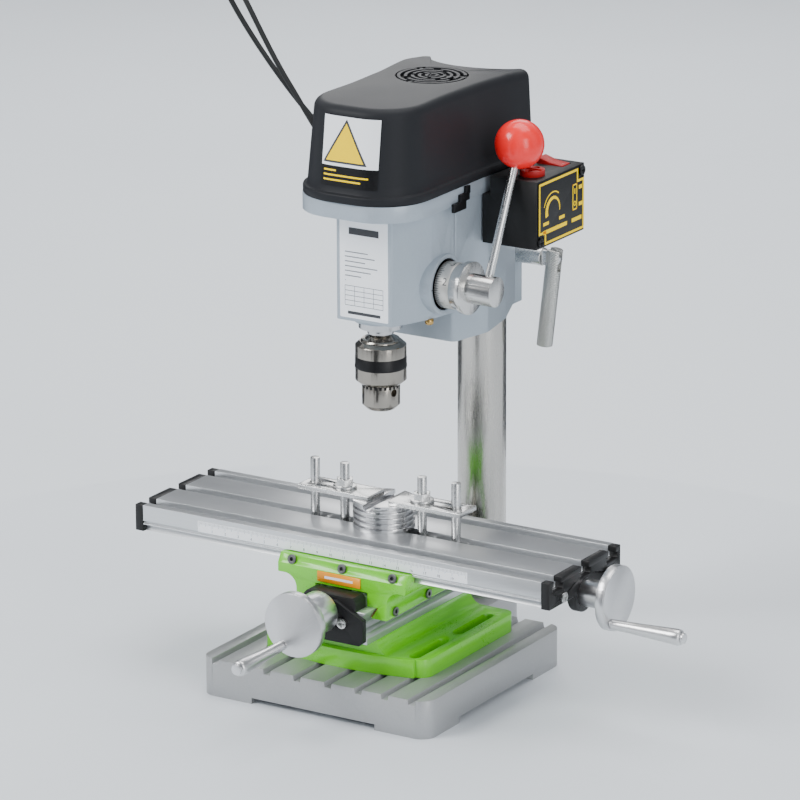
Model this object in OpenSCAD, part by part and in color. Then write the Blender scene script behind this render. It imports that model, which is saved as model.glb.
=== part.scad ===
// Benchtop drilling and milling machine with a compound cross table.
// Origin: on the bench plane, straight below the spindle axis.
// +X runs right along the table, +Y runs back towards the column, +Z is up. Millimetres.

/* [Base plate] */
// Width of the base plate, left to right
base_w = 170; // [164:1:172]
// Depth of the rectangular part of the base plate
base_d = 169; // [166:1:172]
// Thickness of the base plate
base_h = 25; // [22:1:26]
// Depth of the grooves along the top of the base plate
groove_depth = 3.3; // [2:0.1:4]

/* [Column] */
// Diameter of the column
column_d = 32; // [30:0.5:33]
// Distance from the spindle axis to the column axis
throat = 125; // [123:0.5:127]
// Height of the top of the column above the bench
column_top = 352; // [345:1:360]

/* [Cross table] */
// Length of the aluminium table extrusion, without its end caps
table_len = 298; // [280:1:310]
// Width of the table
table_w = 90; // [89:0.5:91]
// Height of the table's top face above the bench
table_top = 102; // [101.5:0.5:102]
// Distance between neighbouring T-slots
slot_pitch = 34.4; // [34:0.1:35]
// Diameter of the two handwheels
wheel_d = 42; // [38:1:44]
// Length of the crank grips
grip_len = 51; // [44:1:54]

/* [Head] */
// Height of the underside of the head's front part
head_bottom = 243; // [241:1:244]
// Half the width of the belt cover at its lip
cover_half_w = 43.5; // [43:0.5:44]
// Height of the top of the belt cover
cover_top = 386.5; // [384:0.5:389]
// Distance from the spindle axis back to the motor axis
motor_y = 62; // [61:0.5:62]

/* [Quill and chuck] */
// Diameter of the quill
quill_d = 28; // [27:0.5:28]
// Number of teeth on the feed pinion, module 1
pinion_teeth = 20; // [18:1:20]
// Outer diameter of the chuck sleeve
chuck_d = 32.6; // [31:0.2:34]
// Height of the lower end of the chuck
chuck_bottom = 182.5; // [182:0.5:183]

/* [Feed lever] */
// Distance from the feed axis to the centre of the ball
lever_len = 95; // [85:1:98]
// Diameter of the ball
ball_d = 31.6; // [26:0.2:32]
// Angle of the lever behind the vertical at rest
lever_tilt = 25.5; // [20:0.5:26]

/* [Hidden] */
$fn = 64;

// Radial clearance of a running fit, and the gap left between parts that only touch
fit = 0.05;
gap = 0.02;
// Overshoot of a cutting tool past the face it cuts
eps = 1;

// Base plate
base_front = -84;
base_rear = base_front + base_d;
base_mid_y = (base_front + base_rear) / 2;
base_r = 10;
groove_x = [11.5, 34.1, 53.7, 73.3];
groove_top_w = 6.2;
groove_bottom_w = 4.6;
foot_recess_h = 4;
foot_recess_half = 46;
base_wall = 9;
base_roof = 12;
corner_pad = 26;
tongue_r = 23.3;
socket_top = 42;
column_seat_z = 5;

// Column
column_r = column_d / 2;

// Cross table base casting
flange_half_w = 61.5;
flange_front = -47;
flange_rear = 65;
flange_top = 37;
flange_r = 8;
flange_bulge = 8.8;
flange_arc_r = 215;
pedestal_half_w = 27;
pedestal_fillet = 9;
pedestal_front = -50;
pedestal_top = 46;
bolt_slot_x = 50;
bolt_slot_w = 8;

// Y rail: foot, neck, dovetail and ridged top
rail_front = -62;
rail_rear = 88;
rail_foot_half = 27;
rail_foot_top = 52.5;
rail_neck_half = 19.2;
rail_dove_bottom = 57.2;
rail_dove_top = 67;
rail_dove_half = 26;
ridge_half = 18.5;
ridge_top = 75;
y_axis_z = 67.8;
screw_r = 4;
channel_half = 7;
y_cap_t = 4;
hood_len = 11.5;
y_boss_end = -74.5;

// Saddle
saddle_front = -49;
saddle_rear = 58;
saddle_half_w = 47.5;
leg_half_w = 33.7;
leg_bottom = 59.5;
arch_top = 76;
saddle_shoulder = 79;
saddle_lip_top = 91;
lip_chamfer = 3.5;
lip_chamfer_z = 85;
leg_fillet = 9;
gib_t = 1.5;
gib_screw_pitch = 37.5;
gib_screw_z = 88.4;
gib_screw_dip = 12;
gib_screw_r = 1.8;
gib_screw_head = 1.2;
rail_screw_z = 63.2;
rail_screw_y = [-39, 1];

// Table extrusion
table_mid_x = -8;
table_mid_y = 4.5;
table_half_w = table_w / 2;
table_left = table_mid_x - table_len / 2;
table_right = table_mid_x + table_len / 2;
table_bottom = 84.4;
table_ledge = 89;
dove_top_half = 39.3;
dove_bottom_half = 42;
slot_open_w = 9.5;
slot_wide_w = 14;
slot_lip = 3.8;
slot_depth = 7.8;
table_channel_half = 9;
table_channel_top = 91.2;
table_cap_t = 6;
x_axis_z = 83.5;
cap_boss_r = 12.8;

// Handwheels and crank grips
wheel_r = wheel_d / 2;
wheel_t = 6;
grip_small_r = 3.3;
grip_large_r = 5.1;
grip_pin_r = 1.8;
x_wheel_face = 171.5;
x_hub_r = 9;
y_wheel_face = -106;
y_hub_r = 8;
y_collar_r = 13.5;
y_collar_end = -92;
x_grip_offset = [-11, -13.5];
y_grip_offset = [-8, -14.6];

// Clamping set and the round piece that it holds
stud_r = 3;
stud_top = 139.5;
strap_bottom = 120.05;
strap_t = 3;
strap_half_w = 10.5;
left_studs = [-53, -30.5];
right_studs = [27.5, 52.7];
left_strap = [-60, -7];
right_strap = [8.5, 61.5];
work_r = 20;
work_mid = [-2, 6];

// Head casting and belt cover
rim_half = 42.5;
rim_rear = 113;
cover_front_r = 31;
cover_rear = 122;
cover_taper = 3.6;
cover_wall = 2.5;
notch_r = 30;
clip_t = 2.2;
vent_y = 63;
rear_bottom = 223;
flange_z = 316;
joint_z = 326.5;
floor_z = 318;
split_w = 2.5;
boss_r = 21.5;
ear_half = 9;
ear_rear = 161;
ear_bottom = 215;
ear_top = 258;
clamp_y = 153;
clamp_z = 249.5;
clamp_pivot_x = 38;

// Quill, rack and pinion
quill_r = quill_d / 2;
quill_bottom = 236;
quill_top = 308.5;
tooth_module = 1;
pinion_r = pinion_teeth * tooth_module / 2;
feed_y = 20;
feed_z = 264;
rack_y = feed_y - pinion_r;
addendum = 0.85;
dedendum = 1.2;
pressure = 20;
tooth_share = 0.44;
pinion_half_w = 6;
rack_half_w = 6.6;
shaft_r = 5;
spindle_r = 6;
spindle_top = 368;
bearing_r = 11;
bearing_w = 8;

// Belt drive
motor_r = 22;
motor_shaft_r = 4;
pulley_z = 328;
step_h = 8;
step_r = [18, 14, 10];
step_rim = 1.5;
belt_t = 1.6;
neck_r = 9;

// Chuck
sleeve_r = chuck_d / 2;
chuck_nose_r = 12.1;
sleeve_bottom = 198.8;
sleeve_top = 227;
chuck_core_r = 11;
chuck_turn = 45;
chuck_top = 231;
jaw_r = 2.3;
jaw_angle = 10;
jaw_tip_r = 4.6;
jaw_len = 14.7;

// Spiral return spring
spring_turns = 3;
spring_steps = 72;
spring_pitch = 1.5;
spring_recess_r = 12.5;
spring_recess = [-35, -22.5];
spring_lid_t = 2;
spring_boss_r = 14;

// Feed hub outside the head
dial_start = 36.3;
dial_end = 46;
dial_r = 15;
hub_flange = [51.5, 55];
hub_flange_r = 17;
hub_r = 9.6;
hub_end = 73;
lever_x = 65.5;
rod_r = 2.75;

// Control box
box_x = [42.1, 47.5, 81.5];
box_y = [55, 115];
box_z = [284, 315.8, 328];
box_wall = 2.2;
knob_at = [69, 71];
knob_r = 8;
knob_h = 3.8;
rocker_at = [65.5, 103.5];
rocker_half = 9.3;
rocker_r = 9.9;

// Prisms and cylinders along the three axes
module along_x(x0, x1) {
    translate([x0, 0, 0]) rotate([90, 0, 90]) linear_extrude(x1 - x0) children();
}

module along_y(y0, y1) {
    translate([0, y1, 0]) rotate([90, 0, 0]) linear_extrude(y1 - y0) children();
}

module x_rod(x0, x1, r, y, z) {
    translate([x0, y, z]) rotate([0, 90, 0]) cylinder(r = r, h = x1 - x0);
}

module y_rod(y0, y1, r, x, z) {
    translate([x, y1, z]) rotate([90, 0, 0]) cylinder(r = r, h = y1 - y0);
}

module z_rod(z0, z1, r, x, y) {
    translate([x, y, z0]) cylinder(r = r, h = z1 - z0);
}

module block(x, y, z) {
    translate([x[0], y[0], z[0]]) cube([x[1] - x[0], y[1] - y[0], z[1] - z[0]]);
}

module rounded_rect(x, y, r) {
    translate([x[0] + r, y[0]]) square([x[1] - x[0] - 2 * r, y[1] - y[0]]);
    translate([x[0], y[0] + r]) square([x[1] - x[0], y[1] - y[0] - 2 * r]);
    for (cx = [x[0] + r, x[1] - r], cy = [y[0] + r, y[1] - r]) translate([cx, cy]) circle(r);
}

module y_slot(x, y0, y1, w) {
    translate([x - w / 2, y0 + w / 2]) square([w, y1 - y0 - w]);
    for (y = [y0 + w / 2, y1 - w / 2]) translate([x, y]) circle(w / 2);
}

module mirrored() {
    children();
    mirror([1, 0, 0]) children();
}

// ---- Base plate and column ----

module base_plate() color("silver") {
    difference() {
        union() {
            linear_extrude(base_h) rounded_rect([-base_w / 2, base_w / 2], [base_front, base_rear], base_r);
            block([-tongue_r, tongue_r], [base_rear - eps, throat], [0, base_h]);
            z_rod(0, socket_top, tongue_r, 0, throat);
        }
        for (side = [-1, 1], x = groove_x) translate([side * x, 0, 0]) base_groove();
        base_pocket();
        block([-foot_recess_half, foot_recess_half], [base_front - eps, base_front + base_wall + eps],
            [-eps, foot_recess_h]);
        mirrored() block([base_w / 2 - base_wall - eps, base_w / 2 + eps],
            [base_mid_y - foot_recess_half, base_mid_y + foot_recess_half], [-eps, foot_recess_h]);
        z_rod(column_seat_z, socket_top + eps, column_r + fit, 0, throat);
    }
}

module base_groove() {
    along_y(base_front - eps, base_rear + eps) polygon([
        [-groove_bottom_w / 2, base_h - groove_depth],
        [groove_bottom_w / 2, base_h - groove_depth],
        [groove_top_w / 2, base_h + 0.2],
        [-groove_top_w / 2, base_h + 0.2]
    ]);
}

// Hollow under the plate: the four corners stay solid as feet
module base_pocket() {
    inner_x = base_w / 2 - base_wall;
    inner_y0 = base_front + base_wall;
    inner_y1 = base_rear - base_wall;
    translate([0, 0, -eps]) linear_extrude(base_h - base_roof + eps) difference() {
        translate([-inner_x, inner_y0]) square([2 * inner_x, inner_y1 - inner_y0]);
        for (x = [-1, 1], y = [inner_y0, inner_y1])
            translate([x * inner_x, y]) square(2 * (corner_pad - base_wall), center = true);
        translate([-base_wall / 2, inner_y0]) square([base_wall, inner_y1 - inner_y0]);
    }
}

module column() color("gainsboro") {
    difference() {
        z_rod(column_seat_z + gap, column_top, column_r, 0, throat);
        z_rod(column_seat_z, column_top + eps, column_r - 4, 0, throat);
    }
}

// ---- Cross table base and Y rail ----

module cross_table_base() color("lawngreen") {
    difference() {
        union() {
            translate([0, 0, base_h + gap]) linear_extrude(flange_top - base_h - gap) {
                rounded_rect([-flange_half_w, flange_half_w], [flange_front, flange_rear], flange_r);
                intersection() {
                    translate([0, flange_front - flange_bulge + flange_arc_r]) circle(flange_arc_r, $fn = 360);
                    translate([-flange_half_w + flange_r, flange_front - flange_bulge])
                        square([2 * (flange_half_w - flange_r), flange_bulge + flange_r]);
                }
            }
            along_y(pedestal_front, flange_rear) {
                translate([-pedestal_half_w, base_h + eps])
                    square([2 * pedestal_half_w, pedestal_top - base_h - eps - gap]);
                mirrored() pedestal_blend();
            }
        }
        for (x = [-bolt_slot_x, bolt_slot_x]) translate([0, 0, base_h - eps]) linear_extrude(flange_top) {
            y_slot(x, flange_front + 2, flange_front + 43, bolt_slot_w);
            y_slot(x, flange_rear - 57, flange_rear - 13, bolt_slot_w);
        }
    }
}

module pedestal_blend() {
    difference() {
        translate([pedestal_half_w - eps, flange_top - eps])
            square([pedestal_fillet + eps, pedestal_fillet + eps - gap]);
        translate([pedestal_half_w + pedestal_fillet, pedestal_top]) circle(pedestal_fillet);
    }
}

// Closed outline from the points of its right half
function both_sides(half) = concat(half, [for (i = [len(half) - 1 : -1 : 0]) [-half[i][0], half[i][1]]]);

module rail_section() {
    polygon(both_sides([
        [rail_foot_half, pedestal_top], [rail_foot_half, rail_foot_top - 2],
        [rail_foot_half - 2, rail_foot_top], [rail_neck_half, rail_foot_top],
        [rail_neck_half, rail_dove_bottom], [rail_dove_half, rail_dove_top],
        [ridge_half, rail_dove_top], [ridge_half, ridge_top - 2], [ridge_half - 2, ridge_top]
    ]));
}

module y_rail() color("lightgray") {
    along_y(rail_front, rail_rear) difference() {
        rail_section();
        translate([-channel_half, y_axis_z - 7]) square([2 * channel_half, ridge_top]);
        mirrored() translate([ridge_half - 7, ridge_top - 3]) square([2.5, 3 + eps]);
    }
}

module y_cap_section() {
    half = rail_foot_half - 0.5;
    polygon(both_sides([
        [half - 3, pedestal_top + gap], [half, pedestal_top + 2.5], [half, rail_dove_top - 4], [6, ridge_top - 1.6]
    ]));
}

module ridge_outline() {
    polygon(both_sides([
        [ridge_half + 0.75, rail_dove_top + 0.1], [ridge_half + 0.75, ridge_top - 1.6],
        [ridge_half - 1.4, ridge_top + 0.75]
    ]));
}

// Thin shell of the front cap that lies over the rail's ridge
module ridge_hood() {
    difference() {
        ridge_outline();
        polygon(both_sides([
            [ridge_half + fit, rail_dove_top - 1], [ridge_half + fit, ridge_top - 1.95], [ridge_half - 1.95, ridge_top + fit]
        ]));
    }
}

module y_front_cap() color("dimgray") {
    difference() {
        union() {
            along_y(rail_front - y_cap_t, rail_front - gap) y_cap_section();
            y_rod(y_boss_end, rail_front - y_cap_t + eps, 7.5, 0, y_axis_z);
            along_y(rail_front - eps, rail_front - gap) ridge_outline();
            along_y(rail_front - eps, rail_front + hood_len) ridge_hood();
        }
        y_rod(y_boss_end - eps, rail_front + eps, screw_r + fit, 0, y_axis_z);
        mirrored() y_rod(rail_front - y_cap_t - eps, rail_front, 1.8, 11.5, rail_foot_top + 7);
    }
}

module y_rear_cap() color("dimgray") {
    difference() {
        along_y(rail_rear + gap, rail_rear + y_cap_t) y_cap_section();
        y_rod(rail_rear, rail_rear + y_cap_t + eps, screw_r + fit, 0, y_axis_z);
        mirrored() y_rod(rail_rear, rail_rear + y_cap_t + eps, 1.8, 11.5, rail_foot_top + 7);
    }
}

module y_cap_screws() color("silver") {
    mirrored() {
        translate([11.5, rail_front - y_cap_t - gap, rail_foot_top + 7]) rotate([90, 0, 0]) cross_screw(1.7, 4);
        translate([11.5, rail_rear + y_cap_t + gap, rail_foot_top + 7]) rotate([-90, 0, 0]) cross_screw(1.7, 4);
    }
}

// Round-head cross screw: the head stands on z = 0 and the shank goes down
module cross_screw(r, len) {
    difference() {
        union() {
            cylinder(r = 2 * r, h = r);
            translate([0, 0, -len + 0.3]) cylinder(r = r, h = len);
        }
        for (a = [0, 90]) rotate(a) translate([-1.4 * r, -0.25 * r, 0.5 * r]) cube([2.8 * r, 0.5 * r, r]);
    }
}

// ---- Saddle ----

module saddle() color("lawngreen") {
    difference() {
        union() {
            intersection() {
                block([-saddle_half_w, saddle_half_w], [saddle_front, saddle_rear], [saddle_shoulder, saddle_lip_top]);
                along_x(-saddle_half_w, saddle_half_w) polygon([
                    [saddle_front, saddle_shoulder], [saddle_rear, saddle_shoulder],
                    [saddle_rear, lip_chamfer_z], [saddle_rear - lip_chamfer, saddle_lip_top],
                    [saddle_front + lip_chamfer, saddle_lip_top], [saddle_front, lip_chamfer_z]
                ]);
            }
            along_y(saddle_front, saddle_rear) {
                translate([-leg_half_w, leg_bottom]) square([2 * leg_half_w, saddle_shoulder + eps - leg_bottom]);
                mirrored() difference() {
                    translate([leg_half_w - eps, saddle_shoulder - leg_fillet])
                        square([leg_fillet + eps, leg_fillet + eps]);
                    translate([leg_half_w + leg_fillet, saddle_shoulder - leg_fillet]) circle(leg_fillet);
                }
            }
        }
        table_way();
        rail_way();
        for (x = [-gib_screw_pitch, 0, gib_screw_pitch]) gib_screw_axis(x) {
            cylinder(r = gib_screw_r + gap, h = 11);
            translate([0, 0, -4]) cylinder(r = 3.1 + gap, h = 4 + gib_screw_head);
        }
        for (y = rail_screw_y) x_rod(rail_neck_half, leg_half_w + eps, gib_screw_r + gap, y, rail_screw_z);
    }
}

// Female dovetail for the table: the front side is wider by the gib
module table_way() {
    lower = dove_bottom_half + fit;
    upper = dove_top_half + fit;
    along_x(-saddle_half_w - eps, saddle_half_w + eps) {
        polygon([
            [table_mid_y - lower - gib_t, table_bottom - fit], [table_mid_y + lower, table_bottom - fit],
            [table_mid_y + upper, table_ledge - gap], [table_mid_y - upper - gib_t, table_ledge - gap]
        ]);
        translate([table_mid_y - table_half_w - fit, table_ledge - fit])
            square([table_w + 2 * fit, saddle_lip_top]);
        translate([table_mid_y - table_channel_half, saddle_shoulder - 0.5])
            square([2 * table_channel_half, saddle_lip_top]);
    }
}

// Female dovetail for the Y rail: the right side is wider by the gib
module rail_way() {
    slope = (rail_dove_half - rail_neck_half) / (rail_dove_top - rail_dove_bottom);
    start = leg_bottom - eps;
    start_half = rail_neck_half + (start - rail_dove_bottom) * slope + fit;
    along_y(saddle_front - eps, saddle_rear + eps) {
        polygon([
            [-start_half, start], [start_half + gib_t, start],
            [rail_dove_half + fit + gib_t, rail_dove_top + fit], [-rail_dove_half - fit, rail_dove_top + fit]
        ]);
        translate([-ridge_half - 1, rail_dove_top - eps])
            square([2 * ridge_half + 2, arch_top - rail_dove_top + eps]);
    }
}

module saddle_plate() color("orange") {
    block([-17.5, 14.5], [saddle_front - 0.8, saddle_front - gap], [saddle_shoulder - 1.2, lip_chamfer_z - 0.4]);
}

module gib_strips() color("goldenrod") {
    x_gib_bottom = table_mid_y - dove_bottom_half - fit;
    x_gib_top = table_mid_y - dove_top_half - fit
        - 0.3 * (dove_bottom_half - dove_top_half) / (table_ledge - table_bottom);
    along_x(-saddle_half_w + 1, saddle_half_w - 1) polygon([
        [x_gib_bottom - gib_t + gap, table_bottom - fit + gap], [x_gib_bottom - gap, table_bottom - fit + gap],
        [x_gib_top - gap, table_ledge - 0.3], [x_gib_top - gib_t + gap, table_ledge - 0.3]
    ]);
    slope = (rail_dove_half - rail_neck_half) / (rail_dove_top - rail_dove_bottom);
    low_z = leg_bottom + 0.3;
    high_z = rail_dove_top - 0.5;
    low_x = rail_neck_half + (low_z - rail_dove_bottom) * slope + fit;
    high_x = rail_neck_half + (high_z - rail_dove_bottom) * slope + fit;
    along_y(saddle_front + 1, saddle_rear - 1) polygon([
        [low_x + gap, low_z], [low_x + gib_t - 2 * gap, low_z],
        [high_x + gib_t - 2 * gap, high_z], [high_x + gap, high_z]
    ]);
}

// Axis of one of the screws in the saddle's front chamfer: +Z points into the casting
module gib_screw_axis(x) {
    translate([x, saddle_front + 0.4, gib_screw_z]) rotate([-90 - gib_screw_dip, 0, 0]) children();
}

// Socket set screws that press on the gibs
module gib_screws() color("dimgray") {
    for (x = [-gib_screw_pitch, 0, gib_screw_pitch]) gib_screw_axis(x) socket_screw(10.1);
    for (y = rail_screw_y) translate([leg_half_w + gib_screw_head, y, rail_screw_z]) rotate([0, -90, 0]) socket_screw(6.6);
}

module socket_screw(len) {
    difference() {
        union() {
            cylinder(r = 3.1, h = gib_screw_head - gap);
            cylinder(r = gib_screw_r, h = len);
        }
        translate([0, 0, -eps]) cylinder(r = 1.45, h = 2 + eps, $fn = 6);
    }
}

module feed_nuts() color("peru") {
    difference() {
        block([-6.5, 6.5], [0, 18], [y_axis_z - 5.5, arch_top - gap]);
        y_rod(-eps, 18 + eps, screw_r + fit, 0, y_axis_z);
    }
    difference() {
        block([-9, 9], [table_mid_y - 7.5, table_mid_y + 7.5], [saddle_shoulder - 0.5 + gap, table_channel_top - 1]);
        x_rod(-9 - eps, 9 + eps, screw_r + fit, table_mid_y, x_axis_z);
    }
}

// ---- Feed screws, handwheels and crank grips ----

module y_lead_screw() color("silver") {
    y_rod(y_wheel_face + wheel_t, rail_rear + y_cap_t + 3, screw_r, 0, y_axis_z);
}

module x_lead_screw() color("silver") {
    x_rod(table_left - table_cap_t - 3, x_wheel_face - wheel_t, screw_r, table_mid_y, x_axis_z);
}

// Turned disc on z = 0..wheel_t with a hub below, bored for the screw, and a crank pin above
module handwheel(hub_r, hub_len, pin_at) {
    difference() {
        union() {
            cylinder(r = wheel_r - 0.5, h = wheel_t);
            translate([0, 0, 0.5]) cylinder(r = wheel_r, h = wheel_t - 1);
            translate([0, 0, -hub_len]) cylinder(r = hub_r, h = hub_len + eps);
        }
        translate([0, 0, -hub_len - eps]) cylinder(r = screw_r + gap, h = hub_len + eps);
    }
    translate([pin_at[0], pin_at[1], wheel_t - eps]) cylinder(r = grip_pin_r, h = grip_len + eps);
    translate([pin_at[0], pin_at[1], wheel_t + grip_len - gap]) cylinder(r = 3.4, h = 1.6);
}

module crank_grip() {
    difference() {
        union() {
            cylinder(r1 = grip_small_r, r2 = grip_large_r, h = grip_len - 8);
            translate([0, 0, grip_len - 8]) cylinder(r = grip_large_r, h = 7.8);
        }
        translate([0, 0, -eps]) cylinder(r = grip_pin_r + fit, h = grip_len + 2 * eps);
    }
}

module y_handwheel() color("gainsboro") {
    translate([0, y_wheel_face + wheel_t, y_axis_z]) rotate([90, 0, 0])
        handwheel(y_hub_r, y_boss_end - y_wheel_face - wheel_t - fit, y_grip_offset);
    difference() {
        y_rod(y_collar_end, y_boss_end - fit, y_collar_r, 0, y_axis_z);
        y_rod(y_collar_end - eps, y_boss_end + eps, y_hub_r - 0.5, 0, y_axis_z);
    }
}

module y_crank_grip() color("gainsboro") {
    translate([y_grip_offset[0], y_wheel_face - fit, y_axis_z + y_grip_offset[1]]) rotate([90, 0, 0]) crank_grip();
}

module x_handwheel() color("gainsboro") {
    hub_len = x_wheel_face - wheel_t - table_right - table_cap_t - fit;
    translate([x_wheel_face - wheel_t, table_mid_y, x_axis_z]) rotate([90, 0, 90])
        handwheel(x_hub_r, hub_len, x_grip_offset);
}

module x_crank_grip() color("gainsboro") {
    translate([x_wheel_face + fit, table_mid_y + x_grip_offset[0], x_axis_z + x_grip_offset[1]])
        rotate([90, 0, 90]) crank_grip();
}

// ---- Table ----

module table_outline() {
    polygon([
        [table_mid_y - dove_bottom_half, table_bottom], [table_mid_y + dove_bottom_half, table_bottom],
        [table_mid_y + dove_top_half, table_ledge], [table_mid_y + table_half_w, table_ledge],
        [table_mid_y + table_half_w, table_top], [table_mid_y - table_half_w, table_top],
        [table_mid_y - table_half_w, table_ledge], [table_mid_y - dove_top_half, table_ledge]
    ]);
}

module t_slots() {
    for (n = [-1, 0, 1]) translate([table_mid_y + n * slot_pitch, 0]) {
        translate([-slot_open_w / 2, table_top - slot_lip - eps]) square([slot_open_w, slot_lip + 2 * eps]);
        translate([-slot_wide_w / 2, table_top - slot_depth]) square([slot_wide_w, slot_depth - slot_lip]);
    }
}

module table() color("lightgray") {
    along_x(table_left, table_right) difference() {
        table_outline();
        t_slots();
        translate([table_mid_y - table_channel_half, table_bottom - eps])
            square([2 * table_channel_half, table_channel_top - table_bottom + eps]);
        for (side = [-1, 1]) translate([table_mid_y + side * table_half_w, table_ledge + 1.6])
            circle(0.9);
    }
}

module table_cap(x0) {
    difference() {
        along_x(x0, x0 + table_cap_t) difference() {
            union() {
                translate([table_mid_y - table_half_w, table_bottom - 0.2])
                    square([table_w, table_top - table_bottom + 0.2]);
                translate([table_mid_y, x_axis_z]) circle(cap_boss_r);
            }
            t_slots();
        }
        x_rod(x0 - eps, x0 + table_cap_t + eps, screw_r + fit, table_mid_y, x_axis_z);
        for (side = [-1, 1])
            x_rod(x0 - eps, x0 + table_cap_t + eps, 1.8, table_mid_y + side * 28, table_ledge - 0.5);
    }
}

module table_left_cap() color("dimgray") table_cap(table_left - table_cap_t - gap);

module table_right_cap() color("dimgray") table_cap(table_right + gap);

module table_cap_screws() color("silver") {
    for (side = [-1, 1]) {
        translate([table_right + table_cap_t + 2 * gap, table_mid_y + side * 28, table_ledge - 0.5])
            rotate([0, 90, 0]) cross_screw(1.7, 5.5);
        translate([table_left - table_cap_t - 2 * gap, table_mid_y + side * 28, table_ledge - 0.5])
            rotate([0, -90, 0]) cross_screw(1.7, 5.5);
    }
}

module scale_strip() color("whitesmoke") {
    front = table_mid_y - table_half_w;
    block([-114, 88], [front - 0.5, front - gap], [saddle_lip_top + 0.6, table_top - 3.2]);
}

// ---- Clamping set ----

module strap(x, studs) {
    difference() {
        block(x, [table_mid_y - strap_half_w, table_mid_y + strap_half_w], [strap_bottom, strap_bottom + strap_t]);
        for (s = studs) z_rod(strap_bottom - eps, strap_bottom + strap_t + eps, stud_r + 0.4, s, table_mid_y);
    }
}

module clamp_fasteners(studs, nut_x) {
    nut_z = strap_bottom + strap_t + gap;
    nut_bottom = table_top - slot_depth + 0.15;
    for (s = studs) {
        z_rod(nut_bottom, stud_top, stud_r, s, table_mid_y);
        difference() {
            block([s - 6.5, s + 6.5], [table_mid_y - 6.8, table_mid_y + 6.8], [nut_bottom, nut_bottom + 3.7]);
            z_rod(nut_bottom - eps, nut_bottom + 5, stud_r + gap, s, table_mid_y);
        }
    }
    difference() {
        union() {
            z_rod(nut_z, nut_z + 1.6, 7.6, nut_x, table_mid_y);
            translate([nut_x, table_mid_y, nut_z]) cylinder(r = 5.9, h = 6, $fn = 6);
        }
        z_rod(nut_z - eps, nut_z + 7, stud_r + gap, nut_x, table_mid_y);
    }
}

module left_clamp_strap() color("silver") strap(left_strap, left_studs);

module left_clamp_fasteners() color("silver") clamp_fasteners(left_studs, left_studs[1]);

module right_clamp_strap() color("silver") strap(right_strap, right_studs);

module right_clamp_fasteners() color("silver") clamp_fasteners(right_studs, right_studs[0]);

module workpiece() color("gainsboro") {
    bottom = table_top + gap;
    difference() {
        z_rod(bottom, strap_bottom - gap, work_r, work_mid[0], work_mid[1]);
        for (n = [0 : 3]) translate([work_mid[0], work_mid[1], bottom + 2.6 + 3.6 * n]) difference() {
            cylinder(r = work_r + eps, h = 1.7);
            translate([0, 0, -eps]) cylinder(r = work_r - 1.6, h = 1.7 + 2 * eps);
        }
        block([work_mid[0] - 3.5, work_mid[0] + 3.5], [work_mid[1] - work_r - eps, work_mid[1] + work_r + eps],
            [strap_bottom - 4, strap_bottom + eps]);
    }
}

// ---- Head casting ----

module front_plan() {
    hull() mirrored() {
        translate([18.8, -17.3]) circle(2.2, $fn = 24);
        translate([27.5, 11]) circle(4.5, $fn = 24);
        translate([32, 30]) circle(4, $fn = 24);
    }
}

module rear_plan() {
    hull() {
        mirrored() {
            translate([32, 35]) circle(4, $fn = 24);
            translate([31.9, 62]) circle(10, $fn = 40);
            translate([23.5, 92]) circle(12.5, $fn = 40);
        }
        translate([0, throat]) circle(boss_r, $fn = 60);
    }
}

// Rounded outline: large corners at the front, small ones at the rear
module flange_plan(half_w, front, front_r, rear, rear_r) {
    translate([-half_w, front + front_r]) square([2 * half_w, rear - rear_r - front - front_r]);
    translate([-half_w + front_r, front]) square([2 * (half_w - front_r), front_r + eps]);
    translate([-half_w + rear_r, rear - rear_r - eps]) square([2 * (half_w - rear_r), rear_r + eps]);
    for (x = [-1, 1]) {
        translate([x * (half_w - front_r), front + front_r]) circle(front_r, $fn = 96);
        translate([x * (half_w - rear_r), rear - rear_r]) circle(rear_r);
    }
}

module head_casting() color("lightsteelblue") {
    difference() {
        union() {
            translate([0, 0, head_bottom]) linear_extrude(flange_z + eps - head_bottom) front_plan();
            translate([0, 0, rear_bottom]) linear_extrude(flange_z + eps - rear_bottom) rear_plan();
            translate([0, 0, flange_z]) linear_extrude(joint_z - flange_z) flange_plan(rim_half, -45, 30, rim_rear, 10);
            x_rod(20, dial_start - fit, 19.4, feed_y, feed_z);
            x_rod(spring_recess[0], -20, spring_boss_r, feed_y, feed_z);
            block([-ear_half, ear_half], [throat + boss_r - 6, ear_rear], [ear_bottom, ear_top]);
            z_rod(quill_bottom + 5, head_bottom + eps, quill_r + 3.5, 0, 0);
        }
        head_cavities();
    }
}

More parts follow.
